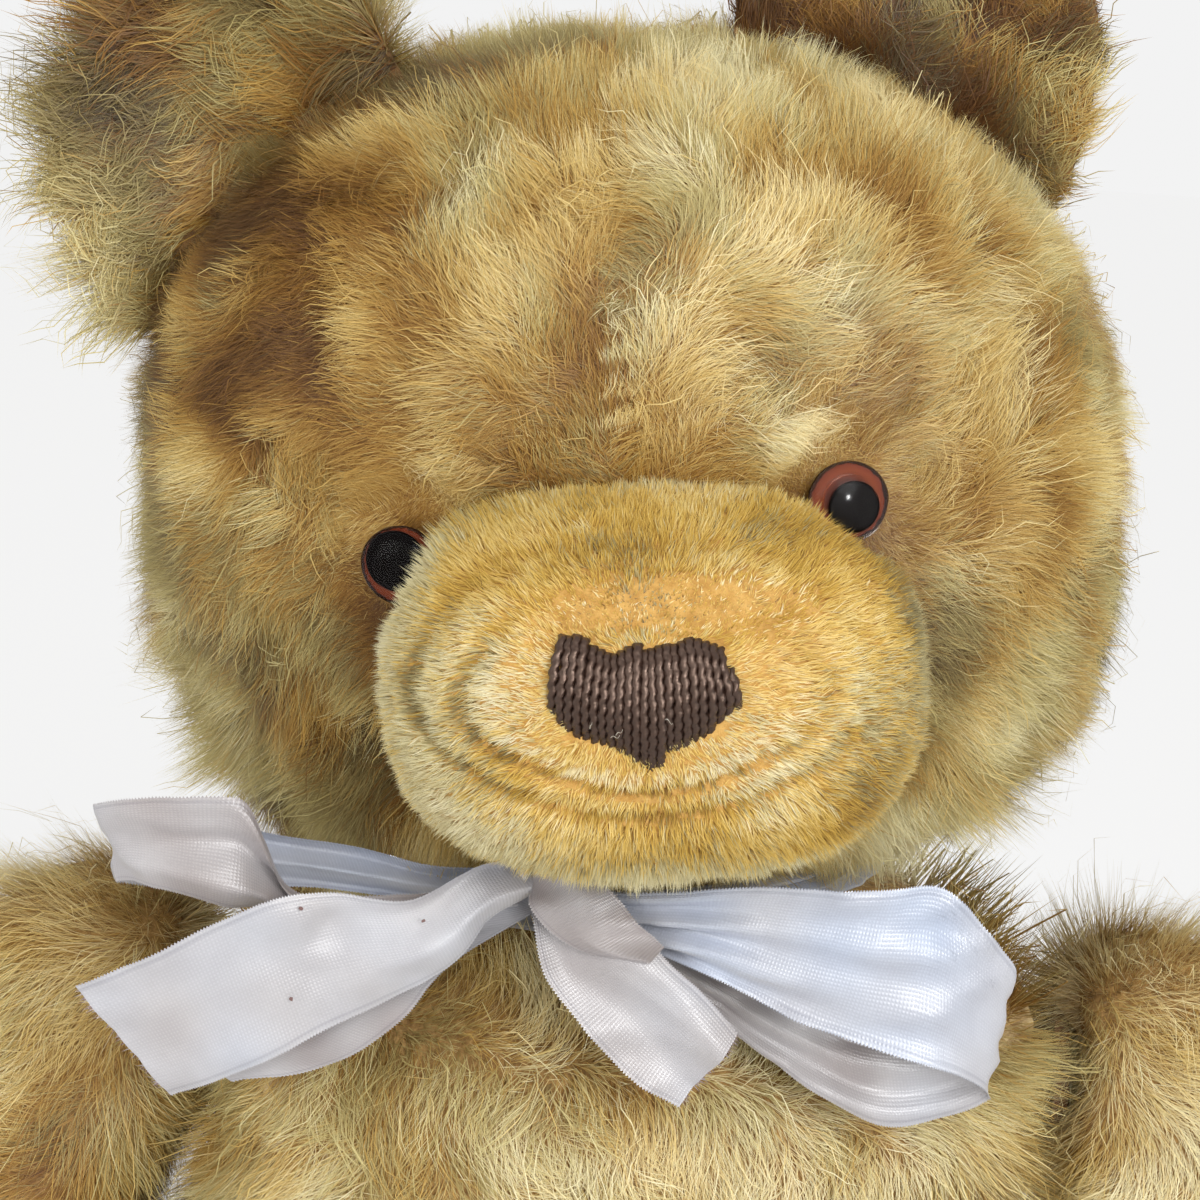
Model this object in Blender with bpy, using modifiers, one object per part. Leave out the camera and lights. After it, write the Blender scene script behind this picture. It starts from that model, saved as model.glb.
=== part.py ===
"""A threadbare mohair teddy bear, sitting, with disc joints at its neck, shoulders and hips.

Metres, +Z up. The bear sits on the plane z = 0 and faces -Y, so its own left side is at +X.
Each limb hangs on an empty on its joint's axis, and its pieces are its children. A skin is a
fine outer loft less a coarser core, and the stuffing is that core drawn in by a small gap.
"""
import math

import bmesh
import bpy
from mathutils import Matrix, Vector, noise

MM = 0.001
GAP = 0.3 * MM  # between pieces that touch
WALL = 3.0 * MM  # plush with its backing, at a corner of the core
STUFFING_GAP = 0.5 * MM
TUFT_HEIGHT = 2.4 * MM
TUFT_LENGTH = 20.0 * MM

# The neck: its joint leans to the bear's right, and the face sits askew on the head.
NECK = Vector((0, -8 * MM, 243.4 * MM))
NECK_LEAN = math.radians(6)
HEAD_CENTRE_HEIGHT = 77 * MM  # above the neck's plane, along its axis
FACE_ROLL = math.radians(6.5)

SHOULDER = Vector((84 * MM, -4 * MM, 190 * MM))
ARM_SWING = math.radians(20)  # forward of straight down, at rest
HIP = Vector((70 * MM, 0, 44 * MM))
HIP_TOP = 90 * MM  # above it the belly may stand out past the hips
CHEST_FOOT = 128 * MM
NECK_FOOT = 212 * MM  # above it the torso leans with the neck

# Sections as (height, half width, front, back, centre's y), in millimetres.
TORSO = (
    (0, 44, 40, 40, 0),
    (3, 53, 49, 48, 0),
    (14, 70, 61, 58, -1),
    (35, 79, 69, 65, -2),
    (62, 83, 74, 69, -3),
    (90, 86, 78, 71, -4),
    (118, 90, 78, 71, -5),
    (146, 93, 74, 69, -6),
    (172, 95, 69, 66, -7),
    (196, 95, 63, 60, -8),
    (212, 90, 56, 54, -8),
    (223, 70, 46, 46, -8),
    (230, 50, 40, 40, -8),
    (234, 41.5, 37.5, 37, -8),
    (243.1, 40, 37, 36, -8),
)
TORSO_CORE = (0, 2, 3, 5, 7, 9, 10, 13, 14)

# Sections as (height over the neck, half width, front, back), in millimetres.
HEAD = (
    (0, 50, 44, 46),
    (3, 65, 54, 57),
    (11, 77, 62, 64),
    (27, 87, 67, 70),
    (47, 92.5, 69, 73),
    (69, 94, 70, 75),
    (91, 91, 70, 75),
    (113, 83, 67, 71),
    (131, 67, 57, 60),
    (143, 47, 42, 44),
    (150, 26, 24, 25),
    (152.5, 10, 10, 10),
)
HEAD_CORE = (0, 2, 4, 6, 8, 11)

# Sections as (forward of the head's centre, half width, half height, centre's x, centre's height
# over the neck), in millimetres.
MUZZLE = (
    (30, 38, 27, 3, 50),
    (52, 42, 30, 3, 50),
    (64, 45, 32.5, 4, 50),
    (76, 46, 33, 4, 50),
    (88, 44.5, 31.5, 4, 50.5),
    (99, 39.5, 27.5, 4, 51.5),
    (107, 32, 22.5, 3.5, 54),
    (112, 23, 16.5, 3, 57),
    (114.3, 14.5, 10.5, 3, 58.5),
)
MUZZLE_CORE = (0, 2, 4, 6, 8)

# Sections as (down the arm, centre off the shoulder's face, half thickness, half width), in
# millimetres. What would reach past the shoulder's face is pressed flat on it.
ARM = (
    (-32, 24, 10, 9),
    (-28, 25, 22, 18),
    (-18, 24, 32, 27),
    (-4, 24, 36, 32),
    (14, 26, 37, 33),
    (36, 37, 35, 33),
    (60, 51, 31, 31),
    (88, 67, 28, 29),
    (114, 79, 26, 27.5),
    (138, 88, 25.5, 28),
    (157, 94, 22, 24.5),
    (169, 97, 15, 16),
    (174, 98, 5, 6),
)
ARM_CORE = (0, 2, 4, 6, 8, 10, 12)
PALM_DOWN = 141 * MM  # the paw pad's middle, down the arm and off the shoulder's face
PALM_OUT = 88 * MM
PALM_TURN = math.radians(28)  # inward of straight ahead
PALM_SPLAY = 0.35  # how far the arm leans out for each unit down

# Sections as (forward of the hip, centre off the hip's face, half thickness, bottom, top), in
# millimetres. The last one is the flat sole.
LEG = (
    (-38, 22, 12, 33, 55),
    (-33, 23, 24, 23, 65),
    (-21, 24, 32, 12, 76),
    (-3, 24, 35.5, 4, 83),
    (18, 24, 35.5, 1, 83),
    (48, 26, 32, 0, 76),
    (86, 28, 28, 0, 66),
    (122, 28, 26, 0, 58),
    (150, 28, 26, 0, 60),
    (167, 28.5, 27.5, 0, 74),
    (181, 29, 29, 0, 91),
    (193, 29, 28.5, 2, 98),
    (201, 29, 25, 8, 95),
    (204, 29, 21, 13, 90),
)
LEG_CORE = (0, 2, 4, 5, 7, 8, 9, 11, 13)
SOLE = -203 * MM

# Glass eyes on wire shanks
EYE_RADIUS = 7.0 * MM
EYE_DOME = 4.2 * MM
EYE_RIM = 0.8 * MM
PUPIL_RADIUS = 4.2 * MM
IRIS_THICKNESS = 1.0 * MM
PUPIL_THICKNESS = 0.8 * MM
EYE_WIRE_RADIUS = 0.6 * MM
EYE_PLACE = Vector((38 * MM, -67.0 * MM, -4.5 * MM))  # from the head's centre, in the face's own axes
EYE_TURN = math.radians(14)  # outward
SHANK_DEPTH = 13 * MM
SOCKET_MOUTH = 14 * MM  # how far in front of the eye the plush is cleared
EYE_SIDES = 14

# Ears: the root's middle from the head's centre, in the face's axes, and the root's slope
EAR_PLACE = Vector((60 * MM, 4 * MM, 56 * MM))
EAR_SLOPE = math.radians(34.4)
EAR_THICKNESS = 8 * MM
EAR_CUP = 13 * MM
# Sections as (up from the root, half width, shift to the head's middle), in millimetres
EAR = (
    (-16, 30, 0),
    (0, 35.5, 0),
    (12, 36, 3),
    (24, 34.5, 5),
    (34, 30, 6.5),
    (41.5, 22, 7),
    (45.5, 10, 7.5),
)

NOSE_STRANDS = 17
NOSE_HALF_WIDTH = 13.8 * MM
NOSE_PLACE = Vector((2.8 * MM, -114.3 * MM, 59.0 * MM))  # from the neck, in the head's axes

# Disc joints: hardboard discs and steel washers on a cotter pin
DISC_THICKNESS = 3.0 * MM
WASHER_RADIUS = 7.5 * MM
WASHER_THICKNESS = 1.0 * MM
PIN_WIRE_RADIUS = 0.8 * MM
PIN_HOLE_RADIUS = 2.2 * MM
SKIN_HOLE_RADIUS = 2.6 * MM
NECK_DISC_RADIUS = 28 * MM
SHOULDER_DISC_RADIUS = 18 * MM
HIP_DISC_RADIUS = 23 * MM
SEAT_SIDES = 10
POCKET_SIDES = 8
PIN_ROOM = 9 * MM  # past the washer, for the pin's eye or its curls

# The satin ribbon: a crumpled band in the neck's groove, a knot in front, loops and tails
RIBBON_THICKNESS = 1.4 * MM  # two thicknesses of satin with the air between them
BAND_RADIUS = 46.6 * MM
BAND_BULGE = 2.6 * MM
BAND_HALF_HEIGHT = 3.4 * MM
BAND_DROP = 4.5 * MM  # below the neck's plane
BAND_CRUMPLE = 0.8 * MM
NECK_SQUASH = 0.95  # the neck is a little shorter front to back than across
KNOT_CENTRE = Vector((-16 * MM, -62 * MM, 236 * MM))
KNOT_RADII = (10 * MM, 16 * MM, 7.5 * MM)
# Each strip's stations as (centre, half width vector, ripple), in millimetres
RIBBON_STRIPS = {
    "loop_right": (
        ((-18, -70, 239), (0, 0, 5), 0.4),
        ((-34, -76, 244), (1, 0, 6), 0.6),
        ((-52, -80, 250), (2, 1, 7.5), 0.8),
        ((-72, -81, 256), (3, 2, 9.5), 0.8),
        ((-90, -77, 253), (2, 3, 8), 0.6),
        ((-96, -71, 250), (1, 3, 7), 0.4),
        ((-88, -66, 248), (1, 2, 8), 0.6),
        ((-66, -64, 246), (1, 1, 8), 0.6),
        ((-42, -64, 242), (0, 0, 6), 0.6),
        ((-22, -63, 238), (0, 0, 4.5), 0.3),
    ),
    "loop_left": (
        ((-12, -70, 239), (0, 0, 5), 0.4),
        ((4, -80, 244), (-1, 0, 7), 0.7),
        ((24, -86, 248.5), (0, 1, 10), 1.0),
        ((46, -85, 249), (2, 2, 11), 1.0),
        ((58, -81, 243), (4, 3, 11), 0.8),
        ((63, -77, 233), (5, 3, 10), 0.5),
        ((57, -76, 224), (3, 3, 10), 0.8),
        ((40, -77, 222), (0, 3, 10), 1.0),
        ((18, -74, 229), (-2, 1, 8.5), 0.8),
        ((-6, -65, 237), (0, 0, 5), 0.4),
    ),
    "tail_right": (
        ((-17, -74, 238), (3, 0, -4.5), 0.3),
        ((-34, -82, 238), (4, 0, -7), 0.6),
        ((-60, -87, 233), (7, 0, -10), 0.5),
        ((-87, -87, 222), (8.7, 0, -9), 0.3),
    ),
    "tail_right_fold": (
        ((-17, -71, 236), (3, 0, -4), 0.3),
        ((-36, -78, 231), (6, 0, -6), 0.6),
        ((-56, -82, 225), (8, 0, -8), 0.5),
        ((-72, -82, 218), (7, 0, -7), 0.3),
    ),
    "tail_left": (
        ((-15, -74, 238), (4, 0, 4), 0.3),
        ((-7, -82, 236), (6, 0, 6), 0.6),
        ((3, -86, 231), (6.5, 0, 8), 0.5),
        ((13, -87, 226.5), (5, 0, 8.5), 0.3),
    ),
}

COLOURS = {
    "mohair": ((0.52, 0.36, 0.16), 0.85, 0.0),
    "muzzle_plush": ((0.60, 0.39, 0.14), 0.8, 0.0),
    "wood_wool": ((0.62, 0.50, 0.30), 0.9, 0.0),
    "felt": ((0.55, 0.42, 0.24), 0.95, 0.0),
    "embroidery": ((0.05, 0.028, 0.024), 0.6, 0.0),
    "satin": ((0.55, 0.52, 0.60), 0.35, 0.0),
    "glass": ((0.95, 0.95, 0.95), 0.02, 0.0),
    "iris_enamel": ((0.30, 0.06, 0.02), 0.3, 0.0),
    "pupil_enamel": ((0.01, 0.01, 0.01), 0.1, 0.0),
    "hardboard": ((0.30, 0.19, 0.10), 0.8, 0.0),
    "steel": ((0.55, 0.54, 0.52), 0.4, 1.0),
}


def collection(name):
    made = bpy.data.collections.new(name)
    bpy.context.scene.collection.children.link(made)
    return made


def clear_scene():
    for old in list(bpy.data.objects):
        bpy.data.objects.remove(old, do_unlink=True)


def finish_named(name, finish):
    """A Principled material of this piece's own."""
    colour, roughness, metallic = COLOURS[finish]
    material = bpy.data.materials.new(name)
    material.use_nodes = True
    shader = material.node_tree.nodes["Principled BSDF"]
    shader.inputs["Base Color"].default_value = (*colour, 1)
    shader.inputs["Roughness"].default_value = roughness
    shader.inputs["Metallic"].default_value = metallic
    return material


def place(name, mesh, group, parent=None, finish=None):
    """An object in its collection, on its parent's axes, with its own material."""
    piece = bpy.data.objects.new(name, mesh)
    group.objects.link(piece)
    piece.parent = parent
    if finish:
        mesh.materials.append(finish_named(name, finish))
        mesh.shade_smooth()
        mesh.set_sharp_from_angle(angle=math.radians(40))
    else:
        piece.hide_render = True
        piece.display_type = "WIRE"
    return piece


def pivot(name, location, rotation=None):
    """An empty on a joint's axis, which carries the limb's pieces."""
    empty = bpy.data.objects.new(name, None)
    PARTS.objects.link(empty)
    empty.matrix_basis = Matrix.Translation(location) @ (rotation or Matrix.Identity(4))
    return empty


def boolean(piece, other, operation="DIFFERENCE"):
    cut = piece.modifiers.new(other.name, "BOOLEAN")
    cut.operation = operation
    cut.solver = "EXACT"
    cut.object = other


def swell(piece, amount):
    """Moves a surface out along its normals, or in where the amount is negative."""
    push = piece.modifiers.new("swell", "DISPLACE")
    push.strength = amount
    push.mid_level = 0


def curved(value, power):
    return math.copysign(abs(value) ** (2 / power), value)


def oval(centre, across, along, width, ahead, behind, power, sides):
    """A ring of points: a rounded oval whose two halves along one axis may differ."""
    ring = []
    for k in range(sides):
        angle = 2 * math.pi * (k + 0.5) / sides
        x = width * curved(math.cos(angle), power)
        y = curved(math.sin(angle), power)
        ring.append(centre + across * x + along * (y * (ahead if y > 0 else behind)))
    return ring


def loft(name, rings):
    """A closed mesh through rings of as many points each, with flat ends."""
    work = bmesh.new()
    rows = [[work.verts.new(point) for point in ring] for ring in rings]
    for low, high in zip(rows, rows[1:]):
        for k in range(len(low)):
            after = (k + 1) % len(low)
            work.faces.new((low[k], low[after], high[after], high[k]))
    work.faces.new(rows[0])
    work.faces.new(rows[-1])
    bmesh.ops.recalc_face_normals(work, faces=work.faces)
    bmesh.ops.triangulate(work, faces=work.faces)
    mesh = bpy.data.meshes.new(name)
    work.to_mesh(mesh)
    work.free()
    return mesh


def ruffle(mesh, is_flat):
    """Raises matted tufts on a pile surface, apart from the faces that seat on something."""
    normals = [vertex.normal.copy() for vertex in mesh.vertices]
    for vertex, normal in zip(mesh.vertices, normals):
        if not is_flat(vertex.co):
            height = TUFT_HEIGHT * noise.noise(vertex.co / TUFT_LENGTH)
            vertex.co += normal * height


def turned(name, profile, group, parent, segments, finish=None):
    """A turned piece or cutter about its parent's Z, from (radius, height) points, top to bottom."""
    mesh = bpy.data.meshes.new(name)
    mesh.from_pydata([(r, 0, z) for r, z in profile], [(k, k + 1) for k in range(len(profile) - 1)], [])
    piece = place(name, mesh, group, parent, finish)
    screw = piece.modifiers.new("turn", "SCREW")
    screw.steps = screw.render_steps = segments
    screw.use_merge_vertices = True
    screw.merge_threshold = 0.00001
    return piece


def ring_profile(hole, radius, bottom, top):
    return [(hole, top), (radius, top), (radius, bottom), (hole, bottom), (hole, top)]


def rod(name, radius, bottom, top, group, parent, sides):
    """A plain cylinder along its parent's Z, mostly a cutter."""
    work = bmesh.new()
    middle = Matrix.Translation((0, 0, (bottom + top) / 2))
    bmesh.ops.create_cone(work, cap_ends=True, segments=sides, radius1=radius, radius2=radius,
                          depth=top - bottom, matrix=middle)
    mesh = bpy.data.meshes.new(name)
    work.to_mesh(mesh)
    work.free()
    return place(name, mesh, group, parent)


def wire(name, points, radius, group, parent, finish, roundness=1):
    """Round wire bent along points, with closed ends."""
    path = bpy.data.curves.new(name, "CURVE")
    path.dimensions = "3D"
    path.bevel_depth = radius
    path.bevel_resolution = roundness
    path.use_fill_caps = True
    spline = path.splines.new("POLY")
    spline.points.add(len(points) - 1)
    for slot, point in zip(spline.points, points):
        slot.co = (*point, 1)
    piece = bpy.data.objects.new(name, path)
    group.objects.link(piece)
    piece.parent = parent
    path.materials.append(finish_named(name, finish))
    return piece


def torso_side(height):
    """How far the torso reaches to the side, where the limbs' flat faces meet it."""
    share = min(max((height - HIP_TOP) / (CHEST_FOOT - HIP_TOP), 0), 1)
    return HIP.x + share * (SHOULDER.x - HIP.x)


def torso_ring(row, sides):
    height, width, front, back, centre = (value * MM for value in row)
    ring = oval(Vector((0, centre, height)), Vector((1, 0, 0)), Vector((0, -1, 0)),
                width, front, back, 2.4, sides)
    limit = torso_side(height)
    lean = min(max((height - NECK_FOOT) / (18 * MM), 0), 1) * math.tan(NECK_LEAN)
    for point in ring:
        point.x = min(max(point.x, -limit), limit)
        point.z += point.x * lean
    return ring


def torso_seat(point):
    beside_limb = abs(point.x) > torso_side(point.z) - TUFT_HEIGHT
    return beside_limb or point.z < 4 * MM or point.z > 222 * MM


def limb_seat(point):
    return abs(point.x) < GAP + TUFT_HEIGHT


def leg_seat(point):
    on_floor = point.z < TUFT_HEIGHT - HIP.z
    return limb_seat(point) or on_floor or point.y < SOLE


def head_seat(point):
    return point.z < 4 * MM


def head_ring(row, sides):
    height, width, front, back = (value * MM for value in row)
    return oval(Vector((0, 0, height)), Vector((1, 0, 0)), Vector((0, -1, 0)),
                width, front, back, 2.3, sides)


def muzzle_ring(row, sides):
    forward, width, height, x, z = (value * MM for value in row)
    return oval(Vector((x, -forward, z)), Vector((1, 0, 0)), Vector((0, 0, 1)),
                width, height, height, 2.6, sides)


def arm_ring(row, side, sides):
    down, out, thickness, width = (value * MM for value in row)
    spine = Vector((0, -math.sin(ARM_SWING), -math.cos(ARM_SWING)))
    ahead = Vector((0, -math.cos(ARM_SWING), math.sin(ARM_SWING)))
    ring = oval(spine * down + Vector((out, 0, 0)), Vector((1, 0, 0)), ahead,
                thickness, width, width, 2.2, sides)
    return [Vector((side * max(point.x, GAP), point.y, point.z)) for point in ring]


def leg_ring(row, side, sides):
    forward, out, thickness, bottom, top = (value * MM for value in row)
    centre = Vector((out, -forward, (bottom + top) / 2 - HIP.z))
    half = (top - bottom) / 2
    ring = oval(centre, Vector((1, 0, 0)), Vector((0, 0, 1)), thickness, half, half, 2.3, sides)
    return [Vector((side * max(point.x, GAP), point.y, point.z)) for point in ring]


def skin_and_stuffing(name, outer, inner, parent, is_flat, finish="mohair"):
    """A plush skin with a hollow for the stuffing, and the core both are cut from."""
    skin_mesh = loft(name, outer)
    ruffle(skin_mesh, is_flat)
    skin = place(name + "_cover", skin_mesh, PARTS, parent, finish)
    core_mesh = loft(name + "_core", inner)
    core = place(name + "_core", core_mesh, CUTTERS, parent)
    swell(core, -WALL)
    boolean(skin, core)
    stuffing = place(name + "_stuffing", core_mesh.copy(), PARTS, parent, "wood_wool")
    swell(stuffing, -WALL - STUFFING_GAP)
    return skin, stuffing


def disc_joint(name, location, direction, radius, limb, limb_pieces, body_pieces):
    """Two discs, two washers and a cotter pin about an axis that points into the limb.

    The limb's skin and stuffing are cut for the limb's half, and the torso's for its own."""
    facing = Vector(direction).to_track_quat("Z", "Y").to_matrix().to_4x4()
    axis = pivot(name + "_axis", location, facing)
    skin_face = GAP + WALL
    disc_face = skin_face + GAP
    washer_face = disc_face + DISC_THICKNESS + GAP
    pin_face = washer_face + WASHER_THICKNESS + GAP
    for half, sign in (("limb", 1), ("body", -1)):
        for piece, size, low, high, segments in (
            ("disc", radius, disc_face, disc_face + DISC_THICKNESS, 12),
            ("washer", WASHER_RADIUS, washer_face, washer_face + WASHER_THICKNESS, 8),
        ):
            bottom, top = sorted((sign * low, sign * high))
            profile = ring_profile(PIN_HOLE_RADIUS, size, bottom, top)
            kind = "hardboard" if piece == "disc" else "steel"
            turned(f"{name}_{piece}_{half}", profile, PARTS, axis, segments, kind)
    cotter_pin(name + "_cotter_pin", pin_face, axis)
    depth = pin_face + PIN_ROOM
    for half, sign, pieces in (("limb", 1, limb_pieces), ("body", -1, body_pieces)):
        skin, stuffing = pieces
        wide = (radius + GAP) / math.cos(math.pi / SEAT_SIDES)
        seat = [(0, depth), (wide, depth), (wide, skin_face),
                (SKIN_HOLE_RADIUS, skin_face), (SKIN_HOLE_RADIUS, -GAP), (0, -GAP)]
        if sign < 0:
            seat = [(r, -z) for r, z in reversed(seat)]
        boolean(skin, turned(f"{name}_{half}_seat", seat, CUTTERS, axis, SEAT_SIDES))
        bottom, top = sorted((sign * 1 * MM, sign * depth))
        corner = (radius + 2 * GAP) / math.cos(math.pi / POCKET_SIDES)
        pocket = rod(f"{name}_{half}_pocket", corner, bottom, top, CUTTERS, axis, POCKET_SIDES)
        boolean(stuffing, pocket)
    return axis


def cotter_pin(name, face, axis):
    """Doubled wire with an eye on the limb's washer, and its two ends curled on the torso's."""
    leg = PIN_WIRE_RADIUS + 0.1 * MM
    reach = 4.5 * MM
    eye = face + PIN_WIRE_RADIUS
    curl = -face - PIN_WIRE_RADIUS - GAP
    half = [
        Vector((leg + reach * 0.75, 0, curl - 3.0 * MM)),
        Vector((leg + reach, 0, curl - 1.4 * MM)),
        Vector((leg + reach * 0.5, 0, curl)),
        Vector((leg, 0, curl + 0.8 * MM)),
        Vector((leg, 0, eye - 0.6 * MM)),
        Vector((leg + reach * 0.4, 0, eye + 2.0 * MM)),
    ]
    other = [Vector((-point.x, 0, point.z)) for point in reversed(half)]
    bend = half + [Vector((0, 0, eye + 3.6 * MM))] + other
    wire(name, bend, PIN_WIRE_RADIUS, PARTS, axis, "steel", 0)


def build_torso():
    outer = [torso_ring(row, 22) for row in TORSO]
    inner = [torso_ring(TORSO[k], 12) for k in TORSO_CORE]
    return skin_and_stuffing("torso", outer, inner, None, torso_seat)


def build_head(neck):
    """The head's skin and its stuffing, with the muzzle let into its front."""
    outer = [head_ring(row, 24) for row in HEAD]
    inner = [head_ring(HEAD[k], 12) for k in HEAD_CORE]
    return skin_and_stuffing("head", outer, inner, neck, head_seat)


def build_muzzle(neck, head_skin, head_stuffing):
    """A short-piled muzzle sewn into the head, with the head's stuffing running into it."""
    rings = [muzzle_ring(row, 18) for row in MUZZLE]
    outer = loft("muzzle", rings)
    core_mesh = loft("muzzle_core", [muzzle_ring(MUZZLE[k], 10) for k in MUZZLE_CORE])
    seam = place("muzzle_seam", outer.copy(), CUTTERS, neck)
    swell(seam, GAP)
    boolean(head_skin, seam)
    muzzle = place("muzzle_cover", outer, PARTS, neck, "muzzle_plush")
    core = place("muzzle_core", core_mesh, CUTTERS, neck)
    swell(core, -WALL)
    boolean(muzzle, core)
    behind = place("muzzle_back", bpy.data.objects["head_core"].data, CUTTERS, neck)
    swell(behind, -WALL)
    boolean(muzzle, behind)
    filling = place("muzzle_filling", core_mesh.copy(), CUTTERS, neck)
    swell(filling, -WALL - STUFFING_GAP)
    boolean(head_stuffing, filling, "UNION")
    return muzzle


def face_axes(neck, name, place_in_face, side):
    """An empty at a place given in the face's own axes, which are rolled on the head."""
    centre = Matrix.Translation((0, 0, HEAD_CENTRE_HEIGHT))
    roll = Matrix.Rotation(-FACE_ROLL, 4, "Y")
    spot = Vector((side * place_in_face.x, place_in_face.y, place_in_face.z))
    empty = bpy.data.objects.new(name, None)
    PARTS.objects.link(empty)
    empty.parent = neck
    empty.matrix_basis = centre @ roll @ Matrix.Translation(spot)
    return empty


def build_eye(neck, label, side, cut_pieces, stuffing):
    """A clear glass dome over a black pupil and a brown iris, held by a wire loop in the head."""
    seat = face_axes(neck, f"eye_{label}_axis", EYE_PLACE, side)
    outward = Matrix.Rotation(side * EYE_TURN, 4, "Z") @ Matrix.Rotation(math.radians(90), 4, "X")
    seat.matrix_basis = seat.matrix_basis @ outward
    iris_top = GAP + IRIS_THICKNESS
    pupil_top = iris_top + GAP + PUPIL_THICKNESS
    glass_foot = iris_top + GAP
    turned(f"eye_{label}_iris", plug_profile(EYE_RADIUS - GAP, GAP, iris_top),
           PARTS, seat, EYE_SIDES, "iris_enamel")
    turned(f"eye_{label}_pupil", plug_profile(PUPIL_RADIUS, glass_foot, pupil_top),
           PARTS, seat, EYE_SIDES, "pupil_enamel")
    dome = [(EYE_RADIUS * math.sin(math.radians(a)),
             glass_foot + EYE_RIM + (EYE_DOME - EYE_RIM) * math.cos(math.radians(a)))
            for a in (0, 30, 60, 90)]
    recess = [(EYE_RADIUS, glass_foot), (PUPIL_RADIUS + GAP, glass_foot),
              (PUPIL_RADIUS + GAP, pupil_top + GAP), (0, pupil_top + GAP)]
    turned(f"eye_{label}_glass", dome + recess, PARTS, seat, EYE_SIDES, "glass")
    wire(f"eye_{label}_shank", shank_points(), EYE_WIRE_RADIUS, PARTS, seat, "steel")
    socket = socket_profile(EYE_RADIUS + GAP, 0, 3 * EYE_WIRE_RADIUS, -SHANK_DEPTH)
    socket_cutter = turned(f"eye_{label}_socket", socket, CUTTERS, seat, EYE_SIDES)
    for piece in cut_pieces:
        boolean(piece, socket_cutter)
    hollow = socket_profile(EYE_RADIUS + 3 * GAP, -2 * GAP, 5 * EYE_WIRE_RADIUS, -SHANK_DEPTH - GAP)
    boolean(stuffing, turned(f"eye_{label}_hollow", hollow, CUTTERS, seat, 12))


def plug_profile(radius, bottom, top):
    return [(0, top), (radius, top), (radius, bottom), (0, bottom)]


def socket_profile(radius, floor, hole, bottom):
    """A wide mouth down to its floor, and a narrower hole for the wire below it."""
    return [(0, SOCKET_MOUTH), (radius, SOCKET_MOUTH), (radius, floor), (hole, floor - 0.1 * GAP),
            (hole, bottom), (0, bottom)]


def shank_points():
    """A stem behind the eye that ends in a small loop."""
    stem = [Vector((0, 0, -GAP)), Vector((0, 0, -7.5 * MM))]
    loop = [Vector((1.1 * MM * math.sin(math.radians(a)), 0,
                    -9.2 * MM + 1.5 * MM * math.cos(math.radians(a)))) for a in (60, 120, 180, 240)]
    return stem + loop


def ear_ring(row, side):
    up, width, shift = (value * MM for value in row)
    steps = 7
    back, front = [], []
    for k in range(steps):
        s = -1 + 2 * k / (steps - 1)
        edge = math.sqrt(max(1 - s * s, 0)) * 0.75 + 0.25
        y = -EAR_CUP * (s * width / (36 * MM)) ** 2
        x = s * width - side * shift
        back.append(Vector((x, y + EAR_THICKNESS / 2 * edge, up)))
        front.append(Vector((x, y - EAR_THICKNESS / 2 * edge, up)))
    return back + list(reversed(front))


def build_ear(neck, label, side):
    """A cupped ear of two layers of plush, sewn to the head along its root."""
    root = face_axes(neck, f"ear_{label}_root", EAR_PLACE, side)
    root.matrix_basis = root.matrix_basis @ Matrix.Rotation(side * EAR_SLOPE, 4, "Y")
    layers = loft("ear", [ear_ring(row, side) for row in EAR])
    ear = place(f"ear_{label}", layers, PARTS, root, "mohair")
    boolean(ear, bpy.data.objects["head_outside"])


def build_nose(neck):
    """Satin-stitched strands side by side, from a notched top edge to a point."""
    rings = []
    columns = 2 * NOSE_STRANDS + 1
    for k in range(columns):
        s = -1 + 2 * k / (columns - 1)
        ridge = (1.3 if k % 2 else 0.7) * MM
        uneven = 0.5 * MM * math.sin(2.4 * k) if k % 2 else 0
        notch = 3.0 * MM * math.exp(-((s + 0.25) / 0.28) ** 2)
        top = 9.9 * MM - notch - 1.5 * MM * s ** 4 + uneven
        bottom = -3.6 * MM - 6.6 * MM * (1 - abs(s - 0.1) ** 1.7) + uneven
        x = s * NOSE_HALF_WIDTH
        bow = 1.1 * MM * s ** 4  # it wraps back round the muzzle
        face = [(-ridge, bottom), (-ridge - 0.9 * MM, (top + bottom) / 2), (-ridge, top)]
        ring = [Vector((x, y + bow - 1.1 * MM, z)) for y, z in face]
        rings.append(ring + [Vector((x, -GAP, top)), Vector((x, -GAP, bottom))])
    nose = place("nose_stitching", loft("nose", rings), PARTS, neck, "embroidery")
    nose.matrix_basis = Matrix.Translation(NOSE_PLACE) @ Matrix.Rotation(NECK_LEAN, 4, "Y")


def build_limb_pad(name, skin, parent, matrix, radius, squash, depth):
    """A felt panel let into a limb's skin: the skin's own wall within an oval outline."""
    shape = Matrix.Diagonal((1, squash, 1, 1))
    window = rod(name + "_window", radius, -depth, depth, CUTTERS, parent, 14)
    window.data.transform(matrix @ shape)
    outline = rod(name + "_outline", radius - GAP, -depth + GAP, depth - GAP, CUTTERS, parent, 14)
    outline.data.transform(matrix @ shape)
    pad = place(name, skin.data.copy(), PARTS, parent, "felt")
    pad.data.materials.clear()
    pad.data.materials.append(finish_named(name, "felt"))
    for cut in list(skin.modifiers):
        if cut.type == "BOOLEAN":
            boolean(pad, cut.object)
    boolean(pad, outline, "INTERSECT")
    boolean(skin, window)
    return pad


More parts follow.
